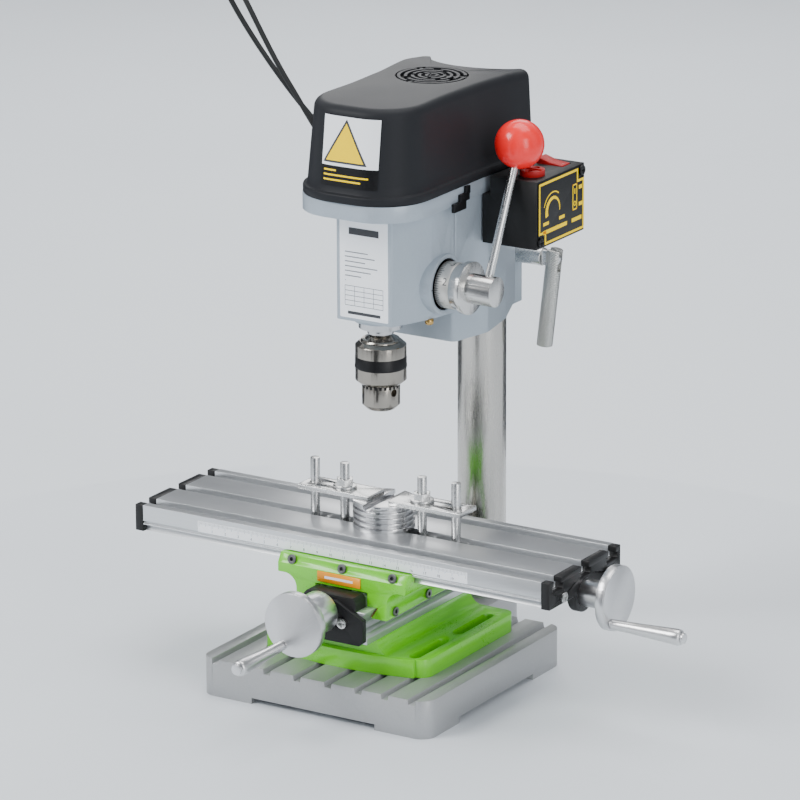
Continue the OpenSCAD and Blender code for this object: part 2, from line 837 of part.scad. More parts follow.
module head_cavities() {
    // Quill bore, neck bore of the spindle pulley and the belt space
    z_rod(quill_bottom, 311, quill_r + fit, 0, 0);
    z_rod(310, joint_z + eps, neck_r + fit, 0, 0);
    translate([0, 0, floor_z]) linear_extrude(joint_z) {
        flange_plan(36, -38, 26, 86, 8);
    }
    z_rod(rear_bottom + 8, joint_z, motor_r + 1, 0, motor_y);
    // Feed shaft bores, pinion pocket and the recess behind the dial
    x_rod(-40, 40, shaft_r + fit, feed_y, feed_z);
    x_rod(-40, spring_recess[0] + spring_lid_t, spring_recess_r, feed_y, feed_z);
    x_rod(spring_recess[0], spring_recess[1], spring_recess_r - 0.7, feed_y, feed_z);
    x_rod(-pinion_half_w - 0.5, pinion_half_w + 0.5, pinion_r + 2, feed_y, feed_z);
    x_rod(dial_start - 2.4, dial_start + eps, dial_r + 1.6, feed_y, feed_z);
    // Column bore with its split and the clamp bolt's holes
    z_rod(ear_bottom - eps, joint_z + eps, column_r + fit, 0, throat);
    block([-split_w / 2, split_w / 2], [throat + column_r - 2, ear_rear + eps], [ear_bottom - eps, joint_z]);
    x_rod(-ear_half - eps, ear_half + eps, 4 + fit, clamp_y, clamp_z);
    // Lead-in below the front part, left open towards the chuck
    z_rod(quill_bottom - eps, head_bottom, quill_r + fit, 0, 0);
}

// ---- Belt cover ----

// Body of the cover above its lip, moved inwards by inset
module cover_solid(inset) {
    half = cover_half_w - cover_taper - inset;
    front = -cover_half_w - 3 + cover_taper + inset;
    rear = cover_rear - inset;
    hull() {
        translate([0, 0, joint_z + fit]) linear_extrude(1)
            flange_plan(half, front, cover_front_r - cover_taper - inset, rear, 12 - inset);
        translate([0, 0, cover_top - 6]) linear_extrude(1)
            flange_plan(half - 3, front + 4, cover_front_r - 6 - inset, rear - 1, 11 - inset);
        translate([0, 0, cover_top - inset - 0.6]) linear_extrude(0.6)
            flange_plan(half - 7, front + 8.5, cover_front_r - 9 - inset, rear - 6, 8);
    }
}

module belt_cover() color("dimgray") {
    difference() {
        union() {
            cover_solid(0);
            translate([0, 0, joint_z + fit]) linear_extrude(5.4)
                flange_plan(cover_half_w, -cover_half_w - 3, cover_front_r, cover_rear, 12);
        }
        z_rod(joint_z - eps, cover_top + eps, notch_r, 0, throat);
        difference() {
            translate([0, 0, -eps]) cover_solid(cover_wall);
            z_rod(joint_z - 2 * eps, cover_top, notch_r + cover_wall, 0, throat);
        }
        translate([0, vent_y, cover_top - 8]) linear_extrude(10) vent_openings();
    }
}

// Rings of openings, left as webs between them
module vent_openings() {
    difference() {
        union() {
            for (r = [7.5, 13.5, 19.5]) difference() {
                circle(r + 1.8);
                circle(r - 1.8);
            }
            circle(2.6);
        }
        for (a = [0 : 60 : 179]) rotate(a) square([44, 2], center = true);
    }
}

module cover_clips() color("dimgray") {
    mirrored() {
        block([rim_half + gap, rim_half + clip_t], [16, 31], [312, 317.5]);
        block([rim_half + gap, rim_half + clip_t], [24, 35], [317, 322]);
        block([rim_half + gap, rim_half + clip_t], [31, 36], [321, 326]);
    }
}

// ---- Motor and belt drive ----

module motor() color("dimgray") {
    difference() {
        union() {
            z_rod(rear_bottom + 14, floor_z + 1, motor_r, 0, motor_y);
            block([-32, 32], [motor_y - 20, motor_y + 22], [floor_z + gap, floor_z + 3]);
        }
        z_rod(floor_z - 20, floor_z + 4, motor_shaft_r + fit, 0, motor_y);
    }
}

module motor_shaft() color("silver") z_rod(floor_z - 18, pulley_z + 3 * step_h + 2, motor_shaft_r, 0, motor_y);

// Three-step pulley, largest step where radii says so, standing on z = 0
module step_pulley(radii, bore_r) {
    difference() {
        union() {
            for (n = [0 : 2]) translate([0, 0, n * step_h]) {
                cylinder(r = radii[n], h = step_h);
                cylinder(r = radii[n] + step_rim, h = 1.2);
                translate([0, 0, step_h - 1.2]) cylinder(r = radii[n] + step_rim, h = 1.2);
            }
        }
        translate([0, 0, -eps]) cylinder(r = bore_r, h = 3 * step_h + 2 * eps);
    }
}

module motor_pulley() color("silver") {
    translate([0, motor_y, pulley_z]) step_pulley([step_r[2], step_r[1], step_r[0]], motor_shaft_r + gap);
}

module spindle_pulley() color("silver") {
    translate([0, 0, pulley_z]) step_pulley(step_r, spindle_r + fit);
    difference() {
        z_rod(312, pulley_z + eps, neck_r, 0, 0);
        z_rod(311, pulley_z + 2 * eps, spindle_r + fit, 0, 0);
    }
}

module belt_loop(r) {
    for (y = [0, motor_y]) translate([0, y]) circle(r);
    translate([-r, 0]) square([2 * r, motor_y]);
}

module drive_belt() color("black") {
    translate([0, 0, pulley_z + step_h + 1.4]) linear_extrude(step_h - 2.8) difference() {
        belt_loop(step_r[1] + fit + belt_t);
        belt_loop(step_r[1] + fit);
    }
}

// ---- Quill, spindle and chuck ----

module quill() color("silver") {
    difference() {
        z_rod(quill_bottom, quill_top, quill_r, 0, 0);
        z_rod(quill_bottom - eps, quill_top + eps, spindle_r + 1, 0, 0);
        z_rod(quill_bottom - eps, quill_bottom + bearing_w, bearing_r + gap, 0, 0);
        z_rod(quill_top - bearing_w, quill_top + eps, bearing_r + gap, 0, 0);
        block([-rack_half_w, rack_half_w], [rack_y - dedendum, quill_r + eps],
            [feed_z - 10, quill_top - bearing_w + 2.8]);
    }
    for (n = [-2 : 11]) translate([0, 0, feed_z + (n - 0.5) * PI * tooth_module]) rack_tooth();
}

module rack_tooth() {
    half = tooth_share * PI * tooth_module / 2;
    flank = tan(pressure);
    along_x(-pinion_half_w, pinion_half_w) polygon([
        [rack_y - dedendum - 0.2, -half - dedendum * flank], [rack_y + addendum, -half + addendum * flank],
        [rack_y + addendum, half - addendum * flank], [rack_y - dedendum - 0.2, half + dedendum * flank]
    ]);
}

module bearing(z0) {
    difference() {
        z_rod(z0, z0 + bearing_w - gap, bearing_r, 0, 0);
        z_rod(z0 - eps, z0 + bearing_w, spindle_r + fit, 0, 0);
    }
}

module quill_bearings() color("silver") {
    bearing(quill_bottom + gap);
    bearing(quill_top - bearing_w + gap);
}

module spindle() color("silver") {
    z_rod(chuck_bottom + 29, spindle_top, spindle_r, 0, 0);
    difference() {
        z_rod(chuck_top + 1, quill_bottom - 0.5, 8.5, 0, 0);
        z_rod(chuck_top, quill_bottom, spindle_r - 0.5, 0, 0);
    }
}

module jaw_axis(a) {
    rotate(a + chuck_turn) translate([jaw_tip_r, 0, chuck_bottom + 1]) rotate([0, jaw_angle, 0]) children();
}

module chuck_body() color("gainsboro") {
    difference() {
        union() {
            z_rod(chuck_bottom + 3, sleeve_bottom - fit, chuck_nose_r, 0, 0);
            translate([0, 0, chuck_bottom]) cylinder(r1 = chuck_nose_r - 3, r2 = chuck_nose_r, h = 3);
            z_rod(sleeve_bottom - eps, sleeve_top, chuck_core_r, 0, 0);
            translate([0, 0, sleeve_top]) cylinder(r1 = 13, r2 = 12, h = 1.5);
            translate([0, 0, sleeve_top + 1.5]) cylinder(r1 = 10, r2 = 6.5, h = chuck_top - sleeve_top - 1.5);
        }
        z_rod(chuck_bottom + 28, chuck_top + eps, spindle_r + gap, 0, 0);
        z_rod(chuck_bottom - eps, chuck_bottom + 27, 3.6, 0, 0);
        for (a = [0, 120, 240]) {
            jaw_axis(a) translate([0, 0, -6]) cylinder(r = jaw_r + fit, h = jaw_len + 14);
            rotate(a + chuck_turn + 60) x_rod(7.5, chuck_nose_r + eps, 2.4, 0, chuck_bottom + 12);
        }
    }
}

module chuck_sleeve() color("gainsboro") {
    difference() {
        union() {
            z_rod(sleeve_bottom + 3, sleeve_top - 2.5, sleeve_r, 0, 0);
            translate([0, 0, sleeve_bottom]) cylinder(r1 = chuck_nose_r + 0.6, r2 = sleeve_r, h = 3);
            translate([0, 0, sleeve_top - 2.5]) cylinder(r1 = sleeve_r, r2 = 13.5, h = 2.5 - fit);
        }
        z_rod(sleeve_bottom - eps, sleeve_top + eps, chuck_core_r + fit, 0, 0);
        for (n = [0 : 23]) rotate(n * 15) block([chuck_core_r, chuck_nose_r + 2.5], [-0.8, 0.8],
            [sleeve_bottom - eps, sleeve_bottom + 1.8]);
    }
}

module chuck_jaw(a) {
    jaw_axis(a) cylinder(r = jaw_r, h = jaw_len);
}

module chuck_jaw_a() color("silver") chuck_jaw(0);

module chuck_jaw_b() color("silver") chuck_jaw(120);

module chuck_jaw_c() color("silver") chuck_jaw(240);

// ---- Quill feed ----

// Angle between a tooth's centre line and its involute flank at radius r, in degrees
function flank_angle(r) = let (
        base_r = pinion_r * cos(pressure),
        a = acos(base_r / max(r, base_r)),
        inv_a = tan(a) - a * PI / 180,
        inv_p = tan(pressure) - pressure * PI / 180
    ) tooth_share * 180 / pinion_teeth - (inv_a - inv_p) * 180 / PI;

flank_radii = [
    pinion_r - dedendum, pinion_r * cos(pressure) + 0.1, pinion_r - 0.2, pinion_r + 0.4, pinion_r + addendum
];

function polar(r, a) = [r * cos(a), r * sin(a)];

// Outline of one tooth from root over the tip to root
function tooth(a) = concat(
    [for (r = flank_radii) polar(r, a - flank_angle(r))],
    [for (i = [len(flank_radii) - 1 : -1 : 0]) polar(flank_radii[i], a + flank_angle(flank_radii[i]))]
);

module pinion_section() {
    polygon([for (n = [0 : pinion_teeth - 1]) for (p = tooth(180 + n * 360 / pinion_teeth)) p]);
}

module pinion_shaft() color("silver") {
    along_x(-pinion_half_w, pinion_half_w) translate([feed_y, feed_z]) pinion_section();
    x_rod(spring_recess[0] + spring_lid_t + 0.3, dial_start, shaft_r, feed_y, feed_z);
    x_rod(dial_start - eps, hub_flange[1] + 4, shaft_r - 1, feed_y, feed_z);
}

module depth_dial() color("whitesmoke") {
    difference() {
        x_rod(dial_start, dial_end, dial_r, feed_y, feed_z);
        x_rod(dial_start - eps, dial_end + eps, 9 + fit, feed_y, feed_z);
    }
}

module feed_hub() color("gainsboro") {
    difference() {
        union() {
            x_rod(dial_start, dial_end + eps, 9, feed_y, feed_z);
            x_rod(dial_end + fit, hub_flange[0] + eps, dial_r - 0.2, feed_y, feed_z);
            x_rod(hub_flange[0], hub_flange[1], hub_flange_r, feed_y, feed_z);
            x_rod(hub_flange[1] - eps, hub_end, hub_r, feed_y, feed_z);
        }
        x_rod(dial_start - eps, hub_flange[1] + 4 + gap, shaft_r - 1 + gap, feed_y, feed_z);
        lever_axis(4) cylinder(r = rod_r + gap, h = hub_r);
    }
}

module lever_axis(r) {
    translate([lever_x, feed_y, feed_z]) rotate([-lever_tilt, 0, 0]) translate([0, 0, r]) children();
}

module feed_lever() color("gainsboro") {
    lever_axis(4 + gap) cylinder(r = rod_r, h = lever_len - 8);
}

module lever_ball() color("red") {
    difference() {
        lever_axis(lever_len) sphere(ball_d / 2);
        lever_axis(4) cylinder(r = rod_r + gap, h = lever_len - 7.5);
    }
}

module spring_housing() color("lightsteelblue") {
    lid = spring_recess[0];
    difference() {
        x_rod(lid, lid + spring_lid_t - gap, spring_recess_r - gap, feed_y, feed_z);
        for (side = [-1, 1]) x_rod(lid - eps, lid + 1, 1, feed_y + 7 * side, feed_z);
    }
}

function spiral(i, start) = let (a = i * 360 * spring_turns / spring_steps, r = start + spring_pitch * a / 360)
    [feed_y + r * cos(a), feed_z + r * sin(a)];

// Spiral return spring, drawn as one band
module return_spring() color("slategray") {
    inner = 6.5;
    band = 0.6;
    along_x(spring_recess[0] + spring_lid_t + 0.5, spring_recess[1] - 1) polygon(concat(
        [for (i = [0 : spring_steps]) spiral(i, inner + band)],
        [for (i = [spring_steps : -1 : 0]) spiral(i, inner)]
    ));
}

// ---- Control box ----

module box_section(inset) {
    polygon([
        [box_x[0] + inset, box_z[0] + inset], [box_x[2] - inset, box_z[0] + inset],
        [box_x[2] - inset, box_z[2] - inset], [box_x[1] + inset, box_z[2] - inset],
        [box_x[1] + inset, box_z[1] - inset], [box_x[0] + inset, box_z[1] - inset]
    ]);
}

module control_box() color("dimgray") {
    difference() {
        along_y(box_y[0], box_y[1]) box_section(0);
        along_y(box_y[0] + box_wall, box_y[1] - box_wall) box_section(box_wall);
        z_rod(box_z[2] - 5, box_z[2] + eps, 3 + fit, knob_at[0], knob_at[1]);
        block([rocker_at[0] - rocker_half - 0.8, rocker_at[0] + rocker_half + 0.8],
            [rocker_at[1] - 5.6, rocker_at[1] + 5.6], [box_z[2] - 5, box_z[2] + eps]);
        for (c = panel_corners()) x_rod(box_x[2] - 5, box_x[2] + eps, 1.8, c[0], c[1]);
    }
}

function panel_corners() = [[box_y[0] + 4, box_z[0] + 4], [box_y[1] - 4, box_z[2] - 4]];

module control_panel() color("black") {
    difference() {
        along_x(box_x[2] + gap, box_x[2] + 0.8)
            rounded_rect([box_y[0] + 1.2, box_y[1] - 1.2], [box_z[0] + 1.2, box_z[2] - 1.2], 2.5);
        for (c = panel_corners()) x_rod(box_x[2] - eps, box_x[2] + 2, 4.6, c[0], c[1]);
    }
}

module panel_screws() color("dimgray") {
    for (c = panel_corners()) translate([box_x[2] + gap, c[0], c[1]]) rotate([0, 90, 0]) cross_screw(1.6, 4);
}

module speed_knob() color("red") {
    difference() {
        union() {
            z_rod(box_z[2] + fit, box_z[2] + knob_h, knob_r, knob_at[0], knob_at[1]);
            z_rod(box_z[2] - 6, box_z[2] + 1, 3, knob_at[0], knob_at[1]);
        }
        for (side = [-1, 1]) translate([knob_at[0], knob_at[1] + side * 4.6, box_z[2] + 1.5]) cylinder(r = 2.6, h = knob_h);
    }
}

// Rocker inside a circle about its pivot, so that it turns freely in its opening
module power_rocker() color("firebrick") {
    pivot_z = box_z[2] - 1.2;
    translate([rocker_at[0], rocker_at[1] + 5, pivot_z]) rotate([90, 0, 0]) linear_extrude(10) intersection() {
        circle(rocker_r);
        polygon([
            [-rocker_half, -5], [rocker_half, -5], [rocker_half, 1.6], [0, 2.6], [-rocker_half + 0.6, 5.4],
            [-rocker_half, 4.6]
        ]);
    }
}

// ---- Column clamp ----

module clamp_bolt() color("silver") {
    difference() {
        union() {
            x_rod(-ear_half - 6, clamp_pivot_x - 8, 4, clamp_y, clamp_z);
            x_rod(ear_half + gap, clamp_pivot_x - 7.8, 6, clamp_y, clamp_z);
            translate([-ear_half - 6, clamp_y, clamp_z]) rotate([0, 90, 0]) cylinder(r = 7.4, h = 6 - gap, $fn = 6);
            block([clamp_pivot_x - 8, clamp_pivot_x], [clamp_y - 2.4, clamp_y + 2.4], [clamp_z - 5, clamp_z + 5]);
            y_rod(clamp_y - 2.4, clamp_y + 2.4, 5, clamp_pivot_x, clamp_z);
        }
        y_rod(clamp_y - 4, clamp_y + 4, 1.6 + fit, clamp_pivot_x, clamp_z);
    }
}

module clamp_handle() color("silver") {
    tilt = 6.7;
    translate([clamp_pivot_x, clamp_y, clamp_z]) rotate([0, tilt, 0]) {
        difference() {
            translate([0, 0, -60]) cylinder(r = 5.3, h = 66);
            translate([-7, -2.5, -8]) cube([14, 5, 16]);
        }
        translate([0, 4.6, 0]) rotate([90, 0, 0]) cylinder(r = 1.6, h = 9.2);
    }
}

// ---- Power cord ----

// Cubic curve through four control points
function bezier(p, t) = pow(1 - t, 3) * p[0] + 3 * t * pow(1 - t, 2) * p[1]
    + 3 * t * t * (1 - t) * p[2] + pow(t, 3) * p[3];

cord_curves = [
    [[-42.5, 84, 292], [-75, 84, 292], [-98, 84, 330], [-122, 84, 362]],
    [[-122, 84, 362], [-146, 84, 394], [-163, 86, 432], [-176, 90, 430]],
    [[-176, 90, 430], [-190, 94, 428], [-152, 98, 372], [-118, 104, 336]],
    [[-118, 104, 336], [-84, 110, 300], [-36, 172, 310], [-34, 176, 236]]
];
cord_r = 1.7;
plug_gap = 0.8;

module cord_run(from, to) {
    d = to - from;
    len = norm(d);
    translate(from) {
        sphere(cord_r + 0.2, $fn = 20);
        rotate([0, acos(d[2] / len), atan2(d[1], d[0])]) cylinder(r = cord_r, h = len, $fn = 20);
    }
}

module power_cord() color("black") {
    steps = 3;
    for (c = cord_curves, i = [0 : steps - 1]) cord_run(bezier(c, i / steps), bezier(c, (i + 1) / steps));
    x_rod(-52, -38.7, 4, 84, 292);
}

module mains_plug() color("black") {
    top = cord_curves[3][3];
    translate([top[0], top[1], top[2] - 34]) {
        linear_extrude(34 - plug_gap) rounded_rect([-10, 10], [-6, 6], 4);
        for (x = [-6.5, 6.5]) translate([x, 0, -17]) cylinder(r = 2, h = 17 + eps);
    }
}

base_plate();
column();
cross_table_base();
y_rail();
y_front_cap();
y_rear_cap();
y_cap_screws();
saddle();
saddle_plate();
gib_strips();
gib_screws();
feed_nuts();
y_lead_screw();
y_handwheel();
y_crank_grip();
table();
table_left_cap();
table_right_cap();
table_cap_screws();
scale_strip();
x_lead_screw();
x_handwheel();
x_crank_grip();
left_clamp_strap();
left_clamp_fasteners();
right_clamp_strap();
right_clamp_fasteners();
workpiece();
head_casting();
belt_cover();
cover_clips();
motor();
motor_shaft();
motor_pulley();
drive_belt();
spindle_pulley();
quill();
quill_bearings();
spindle();
chuck_body();
chuck_sleeve();
chuck_jaw_a();
chuck_jaw_b();
chuck_jaw_c();
pinion_shaft();
depth_dial();
feed_hub();
feed_lever();
lever_ball();
spring_housing();
return_spring();
control_box();
control_panel();
panel_screws();
speed_knob();
power_rocker();
clamp_bolt();
clamp_handle();
power_cord();
mains_plug();
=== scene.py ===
"""Looks of the benchtop milling machine: materials, fine detail, camera and light around the CAD frame."""
import math

import bmesh
import bpy
from mathutils import Matrix, Vector


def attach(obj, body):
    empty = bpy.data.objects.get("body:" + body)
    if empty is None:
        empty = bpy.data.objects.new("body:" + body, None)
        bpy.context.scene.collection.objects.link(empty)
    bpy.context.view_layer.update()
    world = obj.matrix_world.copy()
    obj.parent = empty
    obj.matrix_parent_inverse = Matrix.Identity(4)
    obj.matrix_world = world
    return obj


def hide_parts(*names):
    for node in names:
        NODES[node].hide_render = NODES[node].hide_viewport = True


MM = 0.001
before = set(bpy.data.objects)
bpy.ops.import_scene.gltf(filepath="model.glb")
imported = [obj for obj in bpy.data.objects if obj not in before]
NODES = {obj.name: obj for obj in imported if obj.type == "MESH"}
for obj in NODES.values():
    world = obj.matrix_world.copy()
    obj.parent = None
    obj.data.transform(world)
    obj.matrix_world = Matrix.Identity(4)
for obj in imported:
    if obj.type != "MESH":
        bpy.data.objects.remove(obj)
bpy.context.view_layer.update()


# ---------------------------------------------------------------- materials

def link(tree, a, b):
    tree.links.new(a, b)


def node(tree, kind, **values):
    n = tree.nodes.new(kind)
    for key, value in values.items():
        if key in n.inputs:
            n.inputs[key].default_value = value
        else:
            setattr(n, key, value)
    return n


def srgb(r, g, b):
    """Linear colour of an 8-bit sRGB one."""
    def one(v):
        v = v / 255
        return v / 12.92 if v <= 0.04045 else ((v + 0.055) / 1.055) ** 2.4
    return (one(r), one(g), one(b), 1.0)


def shade(color, factor):
    return tuple(min(1.0, c * factor) for c in color[:3]) + (1.0,)


def material(name, color, metallic=0.0, rough=0.5, spread=0.12, tint=0.12, patch=18.0,
             grain=(1, 1, 1), grain_scale=900.0, bump=0.05, coat=0.0, hammer=0.0, rings=None, ring_bump=0.15,
             specular=0.5, knurl=0.0, painted_glow=0.0):
    """One procedural finish. patch: size of the soft tint and wear patches; grain: stretch of the fine bump;
    hammer: depth of a hammered skin; rings: ("X" or "Y" or "Z", centre in mm) for a turned face; the last argument:
    share of painted light the surface gives off itself, making ink and film brighter than the lamps alone would."""
    m = bpy.data.materials.new(name)
    m.use_nodes = True
    t = m.node_tree
    out = t.nodes["Principled BSDF"]
    out.inputs["Metallic"].default_value = metallic
    out.inputs["Coat Weight"].default_value = coat
    out.inputs["Coat Roughness"].default_value = 0.12
    out.inputs["Specular IOR Level"].default_value = specular
    out.inputs["Emission Color"].default_value = color
    out.inputs["Emission Strength"].default_value = painted_glow
    where = node(t, "ShaderNodeTexCoord")
    patches = node(t, "ShaderNodeTexNoise", Scale=patch, Detail=5.0, Roughness=0.6)
    link(t, where.outputs["Object"], patches.inputs["Vector"])
    stretch = node(t, "ShaderNodeMapping")
    stretch.inputs["Scale"].default_value = grain
    link(t, where.outputs["Object"], stretch.inputs["Vector"])
    fine = node(t, "ShaderNodeTexNoise", Scale=grain_scale, Detail=3.0, Roughness=0.55)
    link(t, stretch.outputs["Vector"], fine.inputs["Vector"])
    both = node(t, "ShaderNodeMath", operation="ADD")
    link(t, patches.outputs["Fac"], both.inputs[0])
    link(t, fine.outputs["Fac"], both.inputs[1])
    mix = node(t, "ShaderNodeMapRange")
    mix.inputs["From Min"].default_value = 0.6
    mix.inputs["From Max"].default_value = 1.4
    link(t, both.outputs[0], mix.inputs["Value"])
    base = node(t, "ShaderNodeMix", data_type="RGBA")
    base.inputs["A"].default_value = shade(color, 1 - tint)
    base.inputs["B"].default_value = shade(color, 1 + tint)
    for socket in base.inputs:
        if socket.name == "A" and socket.type == "RGBA":
            socket.default_value = shade(color, 1 - tint)
        if socket.name == "B" and socket.type == "RGBA":
            socket.default_value = shade(color, 1 + tint)
    link(t, mix.outputs["Result"], base.inputs["Factor"])
    link(t, [s for s in base.outputs if s.type == "RGBA"][0], out.inputs["Base Color"])
    gloss = node(t, "ShaderNodeMapRange")
    gloss.inputs["To Min"].default_value = max(0.03, rough - spread)
    gloss.inputs["To Max"].default_value = min(1.0, rough + spread)
    link(t, mix.outputs["Result"], gloss.inputs["Value"])
    link(t, gloss.outputs["Result"], out.inputs["Roughness"])
    relief = node(t, "ShaderNodeBump", Strength=bump, Distance=0.0002)
    link(t, fine.outputs["Fac"], relief.inputs["Height"])
    last = relief
    if hammer:
        cells = node(t, "ShaderNodeTexVoronoi", Scale=420.0, feature="SMOOTH_F1")
        link(t, where.outputs["Object"], cells.inputs["Vector"])
        skin = node(t, "ShaderNodeBump", Strength=hammer, Distance=0.0006)
        link(t, cells.outputs["Distance"], skin.inputs["Height"])
        link(t, last.outputs["Normal"], skin.inputs["Normal"])
        last = skin
    if knurl:
        bands = []
        for tilt in (-45, 45):
            turn = node(t, "ShaderNodeMapping")
            turn.inputs["Rotation"].default_value = (0, math.radians(tilt), 0)
            link(t, where.outputs["Object"], turn.inputs["Vector"])
            band = node(t, "ShaderNodeTexWave", wave_type="BANDS", bands_direction="X", Scale=260.0)
            link(t, turn.outputs["Vector"], band.inputs["Vector"])
            bands.append(band)
        cross = node(t, "ShaderNodeMath", operation="MULTIPLY")
        link(t, bands[0].outputs["Fac"], cross.inputs[0])
        link(t, bands[1].outputs["Fac"], cross.inputs[1])
        teeth = node(t, "ShaderNodeBump", Strength=knurl, Distance=0.0004)
        link(t, cross.outputs[0], teeth.inputs["Height"])
        link(t, last.outputs["Normal"], teeth.inputs["Normal"])
        last = teeth
    if rings:
        axis, centre = rings
        place = node(t, "ShaderNodeMapping")
        place.inputs["Location"].default_value = [-c * MM for c in centre]
        link(t, where.outputs["Object"], place.inputs["Vector"])
        lathe = node(t, "ShaderNodeTexWave", wave_type="RINGS", rings_direction=axis, Scale=450.0,
                     Distortion=1.5, Detail=2.0)
        link(t, place.outputs["Vector"], lathe.inputs["Vector"])
        turned = node(t, "ShaderNodeBump", Strength=ring_bump, Distance=0.0001)
        link(t, lathe.outputs["Fac"], turned.inputs["Height"])
        link(t, last.outputs["Normal"], turned.inputs["Normal"])
        last = turned
    link(t, last.outputs["Normal"], out.inputs["Normal"])
    return m


SILVER = srgb(205, 207, 210)
MAT = {
    "base": material("base_enamel", srgb(170, 171, 172), metallic=0.5, rough=0.40, spread=0.06, patch=14,
                     tint=0.06, hammer=0.14, bump=0.12),
    "column": material("column_steel", srgb(190, 187, 182), metallic=1, rough=0.26, spread=0.07, tint=0.05,
                       grain=(1, 1, 0.08), grain_scale=1400, bump=0.03),
    "green": material("green_enamel", srgb(112, 214, 22), rough=0.30, spread=0.06, tint=0.05, coat=0.5,
                      hammer=0.04, bump=0.02),
    "extrusion": material("anodised_extrusion", srgb(214, 216, 218), metallic=0.85, rough=0.36, spread=0.06,
                          tint=0.04, grain=(0.02, 1, 1), grain_scale=1600, bump=0.05),
    "rail": material("anodised_rail", srgb(206, 208, 210), metallic=0.85, rough=0.36, spread=0.06, tint=0.04,
                     grain=(1, 0.02, 1), grain_scale=1600, bump=0.05),
    "black": material("black_nylon", srgb(26, 26, 27), rough=0.48, spread=0.08, tint=0.2, bump=0.12,
                      grain_scale=2400, specular=0.35),
    "cover": material("cover_enamel", srgb(38, 39, 42), rough=0.46, spread=0.05, tint=0.10, bump=0.10,
                      grain_scale=2200, patch=9, specular=0.12),
    "zinc": material("bright_zinc", srgb(212, 212, 211), metallic=1, rough=0.27, spread=0.04, tint=0.04, patch=40,
                     bump=0.02),
    "knurled": material("knurled_zinc", srgb(198, 198, 194), metallic=1, rough=0.32, spread=0.05, tint=0.08,
                        patch=40, knurl=1.0),
    "oxide": material("black_oxide", srgb(30, 30, 32), metallic=0.6, rough=0.38, spread=0.12, tint=0.2, patch=60),
    "dark_steel": material("dark_screw_steel", srgb(120, 120, 120), metallic=1, rough=0.34, spread=0.06, tint=0.1,
                           patch=60),
    "brass": material("gib_brass", srgb(196, 160, 96), metallic=1, rough=0.3, tint=0.08),
    "bronze": material("nut_bronze", srgb(176, 128, 84), metallic=1, rough=0.34, tint=0.1),
    "orange": material("orange_film", srgb(255, 160, 10), rough=0.4, tint=0.05, coat=0.1, specular=0.3),
    # Yellow ink and white film give off a little painted light of their own, so they look brighter than the lamps alone
    # would make them
    "yellow": material("yellow_ink", srgb(255, 214, 0), rough=0.7, tint=0.03, specular=0.02, painted_glow=0.14),
    "white": material("white_film", srgb(243, 246, 250), rough=0.38, tint=0.025, spread=0.08, coat=0.1, painted_glow=0.12),
    "ink": material("dark_ink", srgb(52, 54, 58), rough=0.5, tint=0.1),
    "grey_ink": material("grey_ink", srgb(120, 124, 130), rough=0.5, tint=0.1),
    "head": material("head_enamel", srgb(164, 175, 185), metallic=0.25, rough=0.42, spread=0.05, tint=0.04,
                     hammer=0.16, bump=0.05, patch=12, coat=0.15),
    "x_turned": material("x_wheel_aluminium", srgb(216, 216, 217), metallic=1, rough=0.32, spread=0.03,
                         rings=("X", (0, 4.5, 83.5)), tint=0.03, bump=0.01, ring_bump=0.12),
    "y_turned": material("y_wheel_aluminium", srgb(216, 216, 217), metallic=1, rough=0.32, spread=0.03,
                         rings=("Y", (0, 0, 67.8)), tint=0.03, bump=0.01, ring_bump=0.12),
    "feed_turned": material("feed_hub_aluminium", srgb(214, 213, 211), metallic=1, rough=0.26, spread=0.03,
                            rings=("X", (0, 20, 264)), tint=0.03, bump=0.01, ring_bump=0.06),
    "dial": material("dial_satin", srgb(212, 210, 205), metallic=0.8, rough=0.42, spread=0.04, tint=0.03, bump=0.01),
    "z_turned": material("spindle_steel", srgb(196, 197, 199), metallic=1, rough=0.24, spread=0.04,
                         rings=("Z", (0, 0, 0)), tint=0.04, bump=0.01, ring_bump=0.05),
    "grip": material("grip_aluminium", srgb(212, 212, 212), metallic=1, rough=0.30, spread=0.03, tint=0.03,
                     bump=0.01),
    "work": material("work_aluminium", srgb(214, 214, 215), metallic=1, rough=0.22, spread=0.04,
                     rings=("Z", (-2, 6, 0)), tint=0.04, bump=0.01, ring_bump=0.05),
    "motor": material("motor_can", srgb(40, 41, 44), metallic=0.4, rough=0.4, tint=0.15),
    "rubber": material("belt_rubber", srgb(22, 22, 23), rough=0.7, tint=0.2, bump=0.2),
    "chuck": material("chuck_nickel", srgb(152, 147, 139), metallic=1, rough=0.20, spread=0.03, tint=0.05,
                      rings=("Z", (0, 0, 0)), ring_bump=0.03, bump=0.01, patch=50),
    "chuck_black": material("chuck_black", srgb(22, 22, 24), metallic=0.5, rough=0.4, tint=0.2),
    "red": material("red_gloss", srgb(252, 34, 36), rough=0.24, spread=0.04, tint=0.03, coat=0.25, bump=0.01,
                    specular=0.35),
    "rocker": material("rocker_red", srgb(178, 28, 30), rough=0.45, spread=0.06, tint=0.08, bump=0.02, specular=0.3),
    "spring": material("spring_steel", srgb(95, 100, 110), metallic=1, rough=0.35, tint=0.15),
    # Flat black for painted shade: round the dial in its recess, in the knob's recesses, on the chuck's nose under its
    # teeth and under the vent grille
    "painted_shade": material("shadow_black", srgb(9, 9, 10), rough=0.8, tint=0.3),
    "card": material("card_grey", srgb(84, 86, 90), rough=0.9, tint=0.05, specular=0.1),
    "cord": material("cord_pvc", srgb(20, 20, 21), rough=0.42, tint=0.2, bump=0.05),
}

